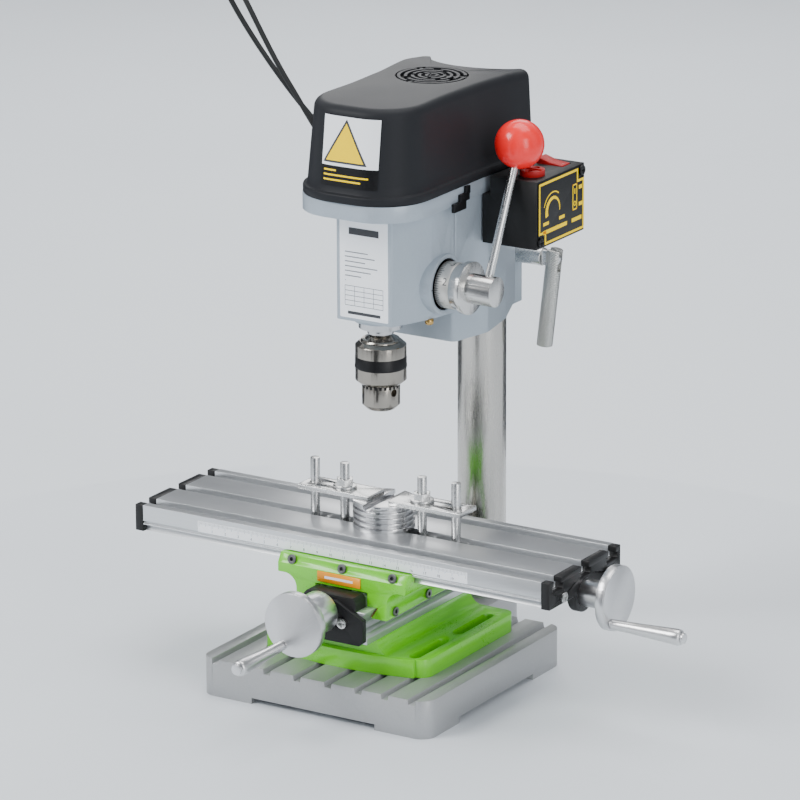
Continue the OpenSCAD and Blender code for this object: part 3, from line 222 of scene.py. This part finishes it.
NODE_FINISH = {
    "base_plate": "base", "column": "column", "cross_table_base": "green", "y_rail": "rail",
    "y_front_cap": "black", "y_rear_cap": "black", "y_cap_screws": "zinc",
    "saddle": "green", "saddle_plate": "orange", "gib_strips": "brass", "gib_screws": "dark_steel",
    "feed_nuts": "bronze", "y_lead_screw": "column", "y_handwheel": "y_turned", "y_crank_grip": "grip",
    "table": "extrusion", "table_left_cap": "black", "table_right_cap": "black", "table_cap_screws": "zinc",
    "scale_strip": "white", "x_lead_screw": "column", "x_handwheel": "x_turned", "x_crank_grip": "grip",
    "left_clamp_strap": "zinc", "left_clamp_fasteners": "zinc", "right_clamp_strap": "zinc",
    "right_clamp_fasteners": "zinc", "workpiece": "work",
    "head_casting": "head", "belt_cover": "cover", "cover_clips": "oxide", "motor": "motor",
    "motor_shaft": "z_turned", "motor_pulley": "z_turned", "drive_belt": "rubber", "spindle_pulley": "z_turned",
    "quill": "z_turned", "quill_bearings": "z_turned", "spindle": "z_turned", "chuck_body": "chuck",
    "chuck_sleeve": "chuck", "chuck_jaw_a": "z_turned", "chuck_jaw_b": "z_turned", "chuck_jaw_c": "z_turned",
    "pinion_shaft": "feed_turned", "depth_dial": "dial", "feed_hub": "feed_turned", "feed_lever": "zinc",
    "lever_ball": "red", "spring_housing": "head", "return_spring": "spring",
    "control_box": "black", "control_panel": "black", "panel_screws": "oxide", "speed_knob": "rocker",
    "power_rocker": "rocker", "clamp_bolt": "zinc", "clamp_handle": "knurled", "power_cord": "cord",
    "mains_plug": "cord",
}
# Width of the rounded edges, in mm, where it isn't the usual one
USUAL_EDGE = 0.35
EDGE = {
    "base_plate": 1.6, "cross_table_base": 1.6, "saddle": 1.0, "head_casting": 1.3, "control_box": 1.2,
    "belt_cover": 1.0, "lever_ball": 0, "pinion_shaft": 0, "return_spring": 0, "power_cord": 0,
    "quill": 0.2, "chuck_sleeve": 0.3, "speed_knob": 0.6, "mains_plug": 1.2, "y_front_cap": 0.7,
    "y_rear_cap": 0.7, "table_left_cap": 0.5, "table_right_cap": 0.5, "spring_housing": 0.5, "feed_hub": 0.6,
    "x_handwheel": 0.8, "y_handwheel": 0.8, "clamp_handle": 0.5, "scale_strip": 0, "saddle_plate": 0.2,
    "control_panel": 0.2, "clamp_bolt": 0.5,
}


def soften(o, width_mm):
    """Rounds the sharp edges of a piece with a fine bevel, leaving its mesh alone."""
    for face in o.data.polygons:
        face.use_smooth = True
    if width_mm <= 0:
        return
    weld = o.modifiers.new("weld", "WELD")
    weld.merge_threshold = 0.01 * MM
    bevel = o.modifiers.new("edges", "BEVEL")
    bevel.width = width_mm * MM
    bevel.segments = 2
    bevel.limit_method = "ANGLE"
    bevel.angle_limit = math.radians(28)
    bevel.harden_normals = True
    bevel.use_clamp_overlap = True
    bevel.miter_outer = "MITER_ARC"


for name, finish in NODE_FINISH.items():
    piece = NODES[name]
    piece.data.materials.clear()
    piece.data.materials.append(MAT[finish])
    soften(piece, EDGE.get(name, USUAL_EDGE))


# ---------------------------------------------------------------- building pieces

def finish_piece(name, bm, body, finish, edge=0.0, smooth=True):
    mesh = bpy.data.meshes.new(name)
    bmesh.ops.recalc_face_normals(bm, faces=bm.faces)
    bm.to_mesh(mesh)
    bm.free()
    o = bpy.data.objects.new(name, mesh)
    bpy.context.scene.collection.objects.link(o)
    mesh.materials.append(MAT[finish])
    if smooth:
        for face in mesh.polygons:
            face.use_smooth = True
    if edge > 0:
        soften(o, edge)
    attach(o, body)
    return o


def axis_frame(axis):
    """Rotation that turns +Z into the given direction."""
    return Vector(axis).normalized().to_track_quat("Z", "Y").to_matrix().to_4x4()


def revolve(name, profile, origin, axis, body, finish, steps=96, edge=0.0):
    """Turned solid from (height, radius) pairs in mm."""
    bm = bmesh.new()
    place = Matrix.Translation(Vector(origin) * MM) @ axis_frame(axis)
    rings = []
    for height, radius in profile:
        ring = []
        for i in range(steps):
            a = 2 * math.pi * i / steps
            point = Vector((radius * math.cos(a), radius * math.sin(a), height)) * MM
            ring.append(bm.verts.new(place @ point))
        rings.append(ring)
    for low, high in zip(rings, rings[1:]):
        for i in range(steps):
            j = (i + 1) % steps
            bm.faces.new((low[i], low[j], high[j], high[i]))
    bm.faces.new(rings[0][::-1])
    bm.faces.new(rings[-1])
    return finish_piece(name, bm, body, finish, edge)


def block(name, lo, hi, body, finish, edge=0.2):
    bm = bmesh.new()
    bmesh.ops.create_cube(bm, size=1)
    for v in bm.verts:
        v.co = Vector([(lo[k] if v.co[k] < 0 else hi[k]) * MM for k in range(3)])
    return finish_piece(name, bm, body, finish, edge)


def plates(name, outlines, place, thickness, body, finish, edge=0.0):
    """Flat shapes of one thickness as one piece; place maps (u, v, height) in mm to the row frame in mm."""
    bm = bmesh.new()
    for outline in outlines:
        low = [bm.verts.new(Vector(place(u, v, 0)) * MM) for u, v in outline]
        high = [bm.verts.new(Vector(place(u, v, thickness)) * MM) for u, v in outline]
        n = len(outline)
        for i in range(n):
            j = (i + 1) % n
            bm.faces.new((low[i], low[j], high[j], high[i]))
        bm.faces.new(low[::-1])
        bm.faces.new(high)
    return finish_piece(name, bm, body, finish, edge, smooth=edge > 0)


def rect(u0, u1, v0, v1):
    return [(u0, v0), (u1, v0), (u1, v1), (u0, v1)]


def rounded(u0, u1, v0, v1, r, steps=6):
    points = []
    for cu, cv, start in ((u1 - r, v0 + r, -90), (u1 - r, v1 - r, 0), (u0 + r, v1 - r, 90), (u0 + r, v0 + r, 180)):
        for i in range(steps + 1):
            a = math.radians(start + 90 * i / steps)
            points.append((cu + r * math.cos(a), cv + r * math.sin(a)))
    return points


def arc_band(cu, cv, r, width, start, end, steps=24):
    """Part of a ring as one outline, angles in degrees."""
    inner, outer = [], []
    for i in range(steps + 1):
        a = math.radians(start + (end - start) * i / steps)
        outer.append((cu + (r + width / 2) * math.cos(a), cv + (r + width / 2) * math.sin(a)))
        inner.append((cu + (r - width / 2) * math.cos(a), cv + (r - width / 2) * math.sin(a)))
    return outer + inner[::-1]


def tube(name, points, radius, body, finish, sides=16):
    """Round tube along points in mm."""
    bm = bmesh.new()
    path = [Vector(p) for p in points]
    rings = []
    normal = None
    for i, p in enumerate(path):
        ahead = path[min(i + 1, len(path) - 1)] - path[max(i - 1, 0)]
        ahead.normalize()
        if normal is None:
            normal = ahead.orthogonal().normalized()
        else:
            normal = (normal - ahead * normal.dot(ahead)).normalized()
        side = ahead.cross(normal)
        rings.append([bm.verts.new((p + (normal * math.cos(a) + side * math.sin(a)) * radius) * MM)
                      for a in [2 * math.pi * k / sides for k in range(sides)]])
    for low, high in zip(rings, rings[1:]):
        for k in range(sides):
            j = (k + 1) % sides
            bm.faces.new((low[k], low[j], high[j], high[k]))
    bm.faces.new(rings[0][::-1])
    bm.faces.new(rings[-1])
    return finish_piece(name, bm, body, finish)


def bezier(p, t):
    a, b, c, d = [Vector(q) for q in p]
    return a * (1 - t) ** 3 + b * 3 * t * (1 - t) ** 2 + c * 3 * t * t * (1 - t) + d * t ** 3


def digit_outlines(text, size):
    """Triangles of a printed digit string, centred, as lists of (u, v) in mm."""
    curve = bpy.data.curves.new("digit", "FONT")
    curve.body = text
    curve.size = size
    curve.align_x = "CENTER"
    curve.align_y = "CENTER"
    o = bpy.data.objects.new("digit", curve)
    bpy.context.scene.collection.objects.link(o)
    dg = bpy.context.evaluated_depsgraph_get()
    mesh = o.evaluated_get(dg).to_mesh()
    shapes = [[(mesh.vertices[i].co.x, mesh.vertices[i].co.y) for i in f.vertices] for f in mesh.polygons]
    o.evaluated_get(dg).to_mesh_clear()
    bpy.data.objects.remove(o)
    bpy.data.curves.remove(curve)
    return shapes


def print_shapes(name, shapes, place, body, finish, lift=0.03):
    """Thin ink: each outline as a face lying lift above the surface that place describes."""
    bm = bmesh.new()
    for outline in shapes:
        bm.faces.new([bm.verts.new(Vector(place(u, v, lift)) * MM) for u, v in outline])
    mesh_piece = finish_piece(name, bm, body, finish, smooth=False)
    return mesh_piece


# ---------------------------------------------------------------- belt cover

LIP_HALF = 43.5
LIP_Z = (326.55, 331.9)
COVER_TOP = 385.8
WALL_IN = 2.8
NOTCH_R = 30.0
LEAN = 3.4
COLUMN_Y = 125.0
REAR_Y = 121.0
VENT = (0.0, 63.0, 23.4)
FRONT_Y = -46.5
FRONT_R = 34.5
FLARE = 4.0
LIP_FLARE = 2.4
REAR_SINK = 2.8
WAIST = 1.2
TAPER = 2.6
TOP_ROUND = 4.8
COVER_WALL = 2.5


def ease(y, start, end):
    """Smooth step from 0 at start to 1 at end."""
    t = min(1.0, max(0.0, (y - start) / (end - start)))
    return t * t * (3 - 2 * t)


def front_corner(inset):
    """Corner radius and half length of the straight middle of the cover's front, moved inwards by inset."""
    radius = FRONT_R - inset * 0.9
    return radius, LIP_HALF - inset - radius


def cover_outline(inset, waist, front_in=0.0):
    """Closed outline of the cover seen from above, moved inwards by inset."""
    r = LIP_HALF - inset
    corner_r, straight = front_corner(inset)
    front = FRONT_Y + inset + front_in
    rear = REAR_Y - inset * 0.5
    notch = NOTCH_R + inset * 0.1
    notch_x = math.sqrt(notch ** 2 - (COLUMN_Y - rear) ** 2)
    lobe = min(12 - inset * 0.5, (r - notch_x) * 0.8)
    half = [(straight * i / 8, front) for i in range(8)]
    for i in range(33):
        a = -math.pi / 2 + math.pi / 2 * i / 32
        half.append((straight + corner_r * math.cos(a), front + corner_r * (1 + math.sin(a))))
    start = front + corner_r
    for i in range(1, 60):
        half.append((r, start + (rear - lobe - start) * i / 60))
    for i in range(13):
        a = math.pi / 2 * i / 12
        half.append((r - lobe + lobe * math.cos(a), rear - lobe + lobe * math.sin(a)))
    for i in range(1, 4):
        half.append((r - lobe + (notch_x - r + lobe) * i / 4, rear))
    first = math.atan2(rear - COLUMN_Y, notch_x)
    for i in range(25):
        a = first + (-math.pi / 2 - first) * i / 24
        half.append((notch * math.cos(a), COLUMN_Y + notch * math.sin(a)))
    smooth = half + [(-x, y) for x, y in reversed(half[1:-1])]
    n = len(smooth)
    for _ in range(10):
        smooth = [((smooth[i - 1][0] + 2 * smooth[i][0] + smooth[(i + 1) % n][0]) / 4,
                   (smooth[i - 1][1] + 2 * smooth[i][1] + smooth[(i + 1) % n][1]) / 4) for i in range(n)]
    shaped = []
    for x, y in smooth:
        pull = waist * math.exp(-((y - 20) / 22) ** 2) * (1 if abs(x) > 15 else 0)
        push = (FLARE if waist else LIP_FLARE) * ease(y, 50, 98) * min(1.0, abs(x) / 36)
        shaped.append((x + math.copysign(1, x) * (push - pull), y))
    return shaped


def cover_rings(offset):
    """(outline, z) pairs from the bottom of the lip up to the top's edge; offset is the wall thickness."""
    rings = []
    for z, inset in ((LIP_Z[0], 0.35), (LIP_Z[0] + 0.5, 0.0), (LIP_Z[1] - 1.0, 0.0), (LIP_Z[1] - 0.3, 0.3),
                     (LIP_Z[1], 1.0), (LIP_Z[1] + 0.2, WALL_IN - 0.6), (LIP_Z[1] + 0.9, WALL_IN)):
        inner = max(inset, 0.5) + offset if offset else inset
        rings.append((cover_outline(inner, 0.0), z))
    for i in range(1, 9):
        t = i / 8
        z = LIP_Z[1] + 0.9 + (COVER_TOP - 6 - LIP_Z[1] - 0.9) * t
        waist = WAIST * math.sin(math.pi * min(1.0, t * 1.1) / 2) ** 2
        rings.append((cover_outline(WALL_IN + offset + TAPER * t, waist, LEAN * t), z))
    for i in range(1, 7):
        a = math.pi / 2 * i / 6
        inset = WALL_IN + offset + TAPER + TOP_ROUND * (1 - math.cos(a))
        rings.append((cover_outline(inset, WAIST, LEAN + 2.0 * (1 - math.cos(a))),
                      COVER_TOP - 6 + (6 - offset) * math.sin(a)))
    return rings


def add_ring(bm, outline, z):
    sink = REAR_SINK * max(0.0, (z - LIP_Z[1]) / (COVER_TOP - LIP_Z[1]))
    return [bm.verts.new(Vector((x, y, z - sink * ease(y, 88, 122))) * MM) for x, y in outline]


def bridge(bm, low, high):
    n = len(low)
    for i in range(n):
        j = (i + 1) % n
        bm.faces.new((low[i], low[j], high[j], high[i]))


def top_with_hole(bm, ring, z):
    """Flat top between the outer ring and the vent's round hole. Returns the hole's ring."""
    hole = []
    for v in ring:
        a = math.atan2(v.co.y / MM - VENT[1], v.co.x / MM - VENT[0])
        point = (VENT[0] + VENT[2] * math.cos(a), VENT[1] + VENT[2] * math.sin(a), z)
        hole.append(bm.verts.new(Vector(point) * MM))
    bridge(bm, ring, hole)
    return hole


def build_cover():
    bm = bmesh.new()
    outer = [add_ring(bm, o, z) for o, z in cover_rings(0.0)]
    for low, high in zip(outer, outer[1:]):
        bridge(bm, low, high)
    inner = [add_ring(bm, o, z) for o, z in cover_rings(COVER_WALL)]
    for low, high in zip(inner, inner[1:]):
        bridge(bm, high, low)
    bridge(bm, inner[0], outer[0])
    hole_out = top_with_hole(bm, outer[-1], COVER_TOP)
    hole_in = top_with_hole(bm, inner[-1], COVER_TOP - COVER_WALL)
    bridge(bm, hole_out, hole_in)
    cover = finish_piece("belt_cover_shell", bm, "belt_cover", "cover")
    crease = cover.modifiers.new("edges", "BEVEL")
    crease.width = 0.35 * MM
    crease.segments = 2
    crease.limit_method = "ANGLE"
    crease.angle_limit = math.radians(50)
    crease.harden_normals = True
    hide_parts("belt_cover")
    return cover


def build_vent():
    """Grille of the vent: concentric arcs and spokes over a black disc of painted shade, seen through the openings."""
    z = COVER_TOP - 1.4

    def flat(u, v, h):
        return (VENT[0] + u, VENT[1] + v, z + h)
    shapes = []
    for r in (3.6, 8.0, 12.4, 16.8, 21.2):
        turn = r * 7
        for part in range(3):
            shapes.append(arc_band(0, 0, r, 2.2, turn + part * 120, turn + part * 120 + 104))
    for part in range(3):
        a = part * 120 + 20
        c, s = math.cos(math.radians(a)), math.sin(math.radians(a))
        shapes.append([(c * u - s * v, s * u + c * v) for u, v in rect(2.0, 23.3, -1.0, 1.0)])
    grille = plates("vent_arcs", shapes[:-3], flat, 1.6, "belt_cover", "cover", edge=0.25)
    spokes = plates("vent_spokes", shapes[-3:], lambda u, v, h: (VENT[0] + u, VENT[1] + v, z - 0.4 + h), 1.5,
                    "belt_cover", "cover", edge=0.2)
    # Painted shade under the grille: a black disc seen through its openings
    disc = plates("vent_shade_disc", [arc_band(0, 0, 11.8, 23.2, 0, 359.9, 72)],
                  lambda u, v, h: (VENT[0] + u, VENT[1] + v, z - 1.4 + h), 0.6, "belt_cover", "painted_shade")


def cover_front(u, z, lift):
    """Point on the cover's curved front: u along the curve from the middle, z the height."""
    t = (z - LIP_Z[1] - 0.9) / (COVER_TOP - 6 - LIP_Z[1] - 0.9)
    t = min(1.0, max(0.0, t))
    inset = WALL_IN + TAPER * t
    radius, straight = front_corner(inset)
    front = FRONT_Y + inset + LEAN * t
    over = abs(u) - straight
    if over <= 0:
        return (u, front - lift, z)
    a = over / radius
    x = straight + (radius + lift) * math.sin(a)
    return (math.copysign(x, u), front + radius - (radius + lift) * math.cos(a), z)


def wrap_grid(u0, u1, z0, z1, columns=16, rows=4):
    """A rectangle on the curved front, cut into small faces so that it follows the curve."""
    shapes = []
    for i in range(columns):
        for j in range(rows):
            shapes.append(rect(u0 + (u1 - u0) * i / columns, u0 + (u1 - u0) * (i + 1) / columns,
                               z0 + (z1 - z0) * j / rows, z0 + (z1 - z0) * (j + 1) / rows))
    return shapes


def build_cover_label():
    middle = 3.2
    left, right = middle - 20, middle + 20
    sign = middle - 3.2
    print_shapes("cover_label_white", wrap_grid(left, right, 349, 380), cover_front, "belt_cover", "white", 0.2)
    print_shapes("cover_label_band", wrap_grid(left, right, 336.5, 349), cover_front, "belt_cover", "chuck_black", 0.2)
    slices = 16
    for part, inset, finish, lift in (("border", 0.0, "ink", 0.28), ("sign", 1.3, "yellow", 0.36)):
        half, low, high = 15.8 - inset * 1.7, 350.8 + inset, 378.6 - inset * 2
        rows = 12
        shapes = []
        for i in range(rows):
            w0, w1 = half * (1 - i / rows), half * (1 - (i + 1) / rows)
            z0, z1 = low + (high - low) * i / rows, low + (high - low) * (i + 1) / rows
            for k in range(slices):
                a0, a1 = -1 + 2 * k / slices, -1 + 2 * (k + 1) / slices
                shape = [(sign + w0 * a0, z0), (sign + w0 * a1, z0), (sign + w1 * a1, z1), (sign + w1 * a0, z1)]
                shapes.append(shape if w1 > 1e-6 else shape[:3])
        print_shapes("cover_label_" + part, shapes, cover_front, "belt_cover", finish, lift)
    lines = []
    for i, width in enumerate((9, 32, 27)):
        z = 346.2 - i * 3.0
        for k in range(slices):
            lines.append(rect(left + 2 + width * k / slices, left + 2 + width * (k + 1) / slices, z - 0.55, z + 0.55))
    print_shapes("cover_label_lines", lines, cover_front, "belt_cover", "yellow", 0.28)


build_cover()
build_vent()
build_cover_label()


# ---------------------------------------------------------------- head label and small parts

def head_front(u, v, h):
    return (u, -19.5 - h, v)


print_shapes("head_label", [rounded(-17.8, 17.8, 245, 313, 1.0)], head_front, "head", "white", 0.12)
label_lines = []
for row in range(7):
    z = 288 - row * 3.1
    label_lines.append(rect(-14, -14 + (17, 22, 15, 24, 19, 12, 0.5)[row], z - 0.35, z + 0.35))
for row in range(5):
    z = 266 - row * 3.2
    label_lines.append(rect(-14, 14, z - 0.2, z + 0.2))
for column in range(5):
    u = -14 + column * 7
    label_lines.append(rect(u - 0.15, u + 0.15, 253.2, 266))
print_shapes("head_label_lines", label_lines, head_front, "head", "grey_ink", 0.18)
print_shapes("head_label_bar", [rect(-11, 11, 299.5, 304), rect(-12, 12, 247.5, 249.5)], head_front, "head", "ink", 0.18)

# Index mark, a ring of painted shadow round the dial where it sits in its recess, and the small screw under it
revolve("dial_shadow_ring", [(0, 16.4), (0.5, 16.4), (0.5, 15.2), (0, 15.2)], (34.2, 20, 264), (1, 0, 0), "head",
        "painted_shade")
block("dial_index_mark", (36.0, 2.2, 263.6), (36.4, 4.6, 264.4), "head", "ink", 0.05)
revolve("quill_stop_screw", [(0, 2.8), (3.2, 2.8), (4.0, 2.0), (4.0, 0.01)], (30.0, 9.7, 243.3), (0, 0, -1), "head",
        "brass", steps=32)


# ---------------------------------------------------------------- depth dial

DIAL_R = 15.0


def dial(u, a, lift):
    """Point on the dial: u along the axis, a the angle in degrees from the front, rising."""
    angle = math.radians(a)
    return (u, 20 - (DIAL_R + lift) * math.cos(angle), 264 + (DIAL_R + lift) * math.sin(angle))


marks = []
DEGREES_PER_MM = 180 / math.pi / 10
DIAL_TURN = 22 - 20 * DEGREES_PER_MM
for i in range(60):
    a = DIAL_TURN + i * DEGREES_PER_MM
    length = 5.2 if i % 10 == 0 else 4.2 if i % 5 == 0 else 3.0
    marks.append([(36.5, a - 0.65), (36.5 + length, a - 0.65), (36.5 + length, a + 0.65), (36.5, a + 0.65)])
print_shapes("dial_marks", marks, dial, "depth_dial", "ink", 0.03)
digits = []
for number in range(6):
    for shape in digit_outlines(str(number), 7.0):
        digits.append([(43.4 + u, DIAL_TURN + number * 10 * DEGREES_PER_MM + v * 180 / math.pi / DIAL_R)
                       for u, v in shape])
print_shapes("dial_digits", digits, dial, "depth_dial", "ink", 0.04)


# ---------------------------------------------------------------- table scale

def strip(u, v, h):
    return (u, -40.5 - 0.5 - h, v)


ruler = []
for mm in range(201):
    height = 3.6 if mm % 10 == 0 else 2.8 if mm % 5 == 0 else 1.9
    x = -113 + mm
    ruler.append(rect(x - 0.09, x + 0.09, 98.7 - height, 98.7))
print_shapes("scale_marks", ruler, strip, "table", "ink", 0.02)
figures = []
for cm in range(1, 20):
    for shape in digit_outlines(str(cm), 2.6):
        figures.append([(-113 + cm * 10 + u, 93.2 + v) for u, v in shape])
print_shapes("scale_figures", figures, strip, "table", "ink", 0.02)

# Printed bar on the orange plate
print_shapes("saddle_plate_print", [rect(-12, 9, 80.4, 82.0)],
             lambda u, v, h: (u, -49.8 - h, v), "saddle", "white", 0.03)


# ---------------------------------------------------------------- control box

PANEL_X = 82.3


def panel(u, v, h):
    return (PANEL_X + h, u, v)


def notched(inset):
    """Outline of the panel with its two screw corners cut out."""
    y0, y1, z0, z1, cut = 56.6 + inset, 113.4 - inset, 285.6 + inset, 326.4 - inset, 7.4
    return [(y0 + cut, z0), (y1, z0), (y1, z1 - cut), (y1 - cut, z1 - cut), (y1 - cut, z1), (y0, z1),
            (y0, z0 + cut), (y0 + cut, z0 + cut)]


border_out, border_in = notched(0), notched(1.6)
frame_shapes = [[border_out[i], border_out[(i + 1) % 8], border_in[(i + 1) % 8], border_in[i]] for i in range(8)]
print_shapes("panel_border", frame_shapes, panel, "head", "yellow", 0.06)
icons = []
DIAL_ICON = (74.5, 306.0)
for i in range(20):
    a0, a1 = 200 - i * 10.5, 200 - (i + 1) * 10.5
    width = 3.4 - 2.6 * i / 20
    icons.append(arc_band(DIAL_ICON[0], DIAL_ICON[1], 8.2, width, a1, a0 - 0.4, 3))
icons.append(arc_band(DIAL_ICON[0], DIAL_ICON[1], 12.0, 0.8, 55, 160))
for u0, u1, v0, v1 in ((62, 69, 298.0, 300.2), (82, 89, 298.0, 300.2), (62, 92, 292.4, 295.0), (98, 110.5, 292.4, 295.0),
                       (99, 99.9, 300, 317), (103.9, 104.8, 300, 317), (99, 104.8, 300, 300.9), (99, 104.8, 316.1, 317),
                       (101.4, 102.4, 310.5, 314), (107, 111, 312.5, 315), (107, 111.5, 301.5, 304)):
    icons.append(rect(u0, u1, v0, v1))
icons.append(arc_band(101.9, 304.2, 1.3, 0.7, 0, 359.9))
print_shapes("panel_icons", icons, panel, "head", "yellow", 0.06)

block("knob_bar", (61.8, 69.8, 331.0), (76.2, 72.2, 332.8), "speed_knob", "rocker", 0.6)
# Painted shade in the knob's two recesses, one on each side of its bar
for side in (-1, 1):
    revolve("knob_recess_shade", [(0, 2.3), (0.1, 2.3)], (69, 71 + side * 4.6, 329.55), (0, 0, 1), "speed_knob", "painted_shade", steps=32)
block("rocker_line", (72.4, 102.2, 328.42), (72.9, 104.8, 328.62), "power_rocker", "white", 0.05)


# ---------------------------------------------------------------- chuck

revolve("chuck_band", [(209.7, 16.2), (210.0, 16.6), (210.7, 16.65), (211.5, 16.45), (217.2, 16.4), (217.5, 16.2)],
        (0, 0, 0), (0, 0, 1), "chuck_sleeve", "chuck_black", steps=128)

NOSE_R = 12.12
# Painted shadow on the chuck's nose under each of the sleeve's 24 key teeth
teeth_shadows = [rect(n * 15 - 3.6, n * 15 + 3.6, 197.0, 198.8) for n in range(24)]
print_shapes("chuck_teeth_shadows", teeth_shadows,
             lambda u, v, h: ((NOSE_R + h) * math.cos(math.radians(u)), (NOSE_R + h) * math.sin(math.radians(u)), v),
             "chuck_sleeve", "painted_shade", 0.08)


# ---------------------------------------------------------------- crank grips

def grip_profile(length):
    profile = [(0.05, 2.6), (0.6, 3.2), (2.5, 3.3)]
    for i in range(1, 12):
        t = i / 12
        profile.append((2.5 + (length - 9.5) * t, 3.3 + 1.8 * t ** 1.4))
    profile += [(length - 5.5, 5.1), (length - 2.4, 5.1), (length - 1.0, 4.7), (length - 0.25, 3.6)]
    return profile


for name, origin, axis, body in (("x_grip_turned", (171.5, -6.5, 70), (1, 0, 0), "x_grip"),
                                 ("y_grip_turned", (-8, -106, 53.2), (0, -1, 0), "y_grip")):
    grip = revolve(name, grip_profile(51), origin, axis, body, "grip", steps=64)
    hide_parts("x_crank_grip" if name[0] == "x" else "y_crank_grip")


# ---------------------------------------------------------------- power cord

CORD = [
    [(-42.5, 84, 292), (-75, 84, 292), (-98, 84, 330), (-122, 84, 362)],
    [(-122, 84, 362), (-146, 84, 394), (-163, 86, 432), (-176, 90, 430)],
    [(-176, 90, 430), (-190, 94, 428), (-152, 98, 372), (-118, 104, 336)],
    [(-118, 104, 336), (-84, 110, 300), (-36, 172, 310), (-34, 176, 236)],
]
cord_path = [bezier(c, i / 24) for c in CORD for i in range(24)] + [Vector(CORD[3][3])]
cord = tube("cord_run", cord_path, 1.75, "head", "cord")
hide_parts("power_cord")
relief_profile = [(0, 4.0), (2, 4.0), (2.6, 3.4), (3.6, 3.4), (4.2, 3.8), (5.4, 3.8), (6.0, 3.0), (7.2, 3.0),
                  (7.8, 3.4), (9.0, 3.4), (9.6, 2.6), (13.0, 2.2), (13.6, 1.8)]
revolve("cord_relief", relief_profile, (-38.7, 84, 292), (-1, 0, 0), "head", "cord", steps=40)


# ---------------------------------------------------------------- stage, light and camera

floor_mesh = bpy.data.meshes.new("floor")
floor_mesh.from_pydata([(-6, -6, 0), (6, -6, 0), (6, 6, 0), (-6, 6, 0)], [], [(0, 1, 2, 3)])
floor = bpy.data.objects.new("floor", floor_mesh)
bpy.context.scene.collection.objects.link(floor)
floor_mesh.materials.append(material("floor_pale", srgb(221, 226, 231), rough=0.6, tint=0.015, bump=0.02, patch=4))


# Dark cards round the machine, seen only as reflections in its metal
CARD_R = 0.46
for number, (start, end) in enumerate(((-170, -126), (-36, -14), (126, 170))):
    card_mesh = bpy.data.meshes.new("card_%d" % number)
    points = []
    for i in range(9):
        heading = math.radians(start + (end - start) * i / 8 - 90 + 31.68)
        for z in (0.001, 0.52):
            points.append((CARD_R * math.cos(heading), CARD_R * math.sin(heading), z))
    card_mesh.from_pydata(points, [], [(2 * i, 2 * i + 2, 2 * i + 3, 2 * i + 1) for i in range(8)])
    card = bpy.data.objects.new("card_%d" % number, card_mesh)
    bpy.context.scene.collection.objects.link(card)
    card_mesh.materials.append(MAT["card"])
    card.visible_camera = False
    card.visible_diffuse = False
    card.visible_shadow = False
    card.visible_transmission = False


def area(name, location, target, size, power, color=(1, 1, 1)):
    data = bpy.data.lights.new(name, "AREA")
    data.shape = "RECTANGLE"
    data.size, data.size_y = size
    data.energy = power
    data.color = color
    o = bpy.data.objects.new(name, data)
    bpy.context.scene.collection.objects.link(o)
    o.location = location
    o.rotation_euler = (Vector(target) - Vector(location)).to_track_quat("-Z", "Y").to_euler()
    return o


AIM = (0, 0, 0.2)
area("key", (-1.3, -1.6, 1.9), AIM, (1.2, 1.2), 58)
area("fill", (1.9, -0.9, 0.9), AIM, (0.8, 1.6), 20)
area("top", (0.1, 0.5, 2.2), AIM, (1.8, 1.2), 30)
area("rear", (-0.9, 1.6, 1.1), AIM, (1.2, 1.2), 14)

world = bpy.data.worlds.new("studio")
bpy.context.scene.world = world
world.use_nodes = True
background = world.node_tree.nodes["Background"]
background.inputs["Color"].default_value = srgb(218, 223, 229)
# The studio is brighter and darker by turns round the horizon, which gives round metal its bands
sky = world.node_tree
direction = node(sky, "ShaderNodeTexCoord")
parts = node(sky, "ShaderNodeSeparateXYZ")
link(sky, direction.outputs["Generated"], parts.inputs[0])
heading = node(sky, "ShaderNodeMath", operation="ARCTAN2")
link(sky, parts.outputs["Y"], heading.inputs[0])
link(sky, parts.outputs["X"], heading.inputs[1])
turns = node(sky, "ShaderNodeMath", operation="MULTIPLY")
turns.inputs[1].default_value = 5
link(sky, heading.outputs[0], turns.inputs[0])
wave = node(sky, "ShaderNodeMath", operation="SINE")
link(sky, turns.outputs[0], wave.inputs[0])
level = node(sky, "ShaderNodeMapRange")
level.inputs["From Min"].default_value = -1
level.inputs["To Min"].default_value = 0.25
level.inputs["To Max"].default_value = 1.35
link(sky, wave.outputs[0], level.inputs["Value"])
link(sky, level.outputs["Result"], background.inputs["Strength"])

CAMERA_AZIMUTH = 31.68
CAMERA_ELEVATION = 17.03
CAMERA_ROLL = -0.2436
CAMERA_DISTANCE = 3.3289
CAMERA_SHIFT = (0.01608, 0.07924)
CAMERA_LENS = 233.9
LOOK_POINT = Vector((-0.008, 0.0045, 0.102))

a, e, roll = (math.radians(v) for v in (CAMERA_AZIMUTH, CAMERA_ELEVATION, CAMERA_ROLL))
right = Vector((math.cos(a), math.sin(a), 0))
back = Vector((math.sin(a) * math.cos(e), -math.cos(a) * math.cos(e), math.sin(e)))
up = back.cross(right)
right, up = right * math.cos(roll) + up * math.sin(roll), up * math.cos(roll) - right * math.sin(roll)
camera_data = bpy.data.cameras.new("camera")
camera_data.lens = CAMERA_LENS
camera_data.sensor_width = 36
camera_data.clip_end = 50
camera = bpy.data.objects.new("camera", camera_data)
bpy.context.scene.collection.objects.link(camera)
place = Matrix((right, up, back)).transposed().to_4x4()
place.translation = LOOK_POINT + back * CAMERA_DISTANCE + right * CAMERA_SHIFT[0] + up * CAMERA_SHIFT[1]
camera.matrix_world = place
bpy.context.scene.camera = camera
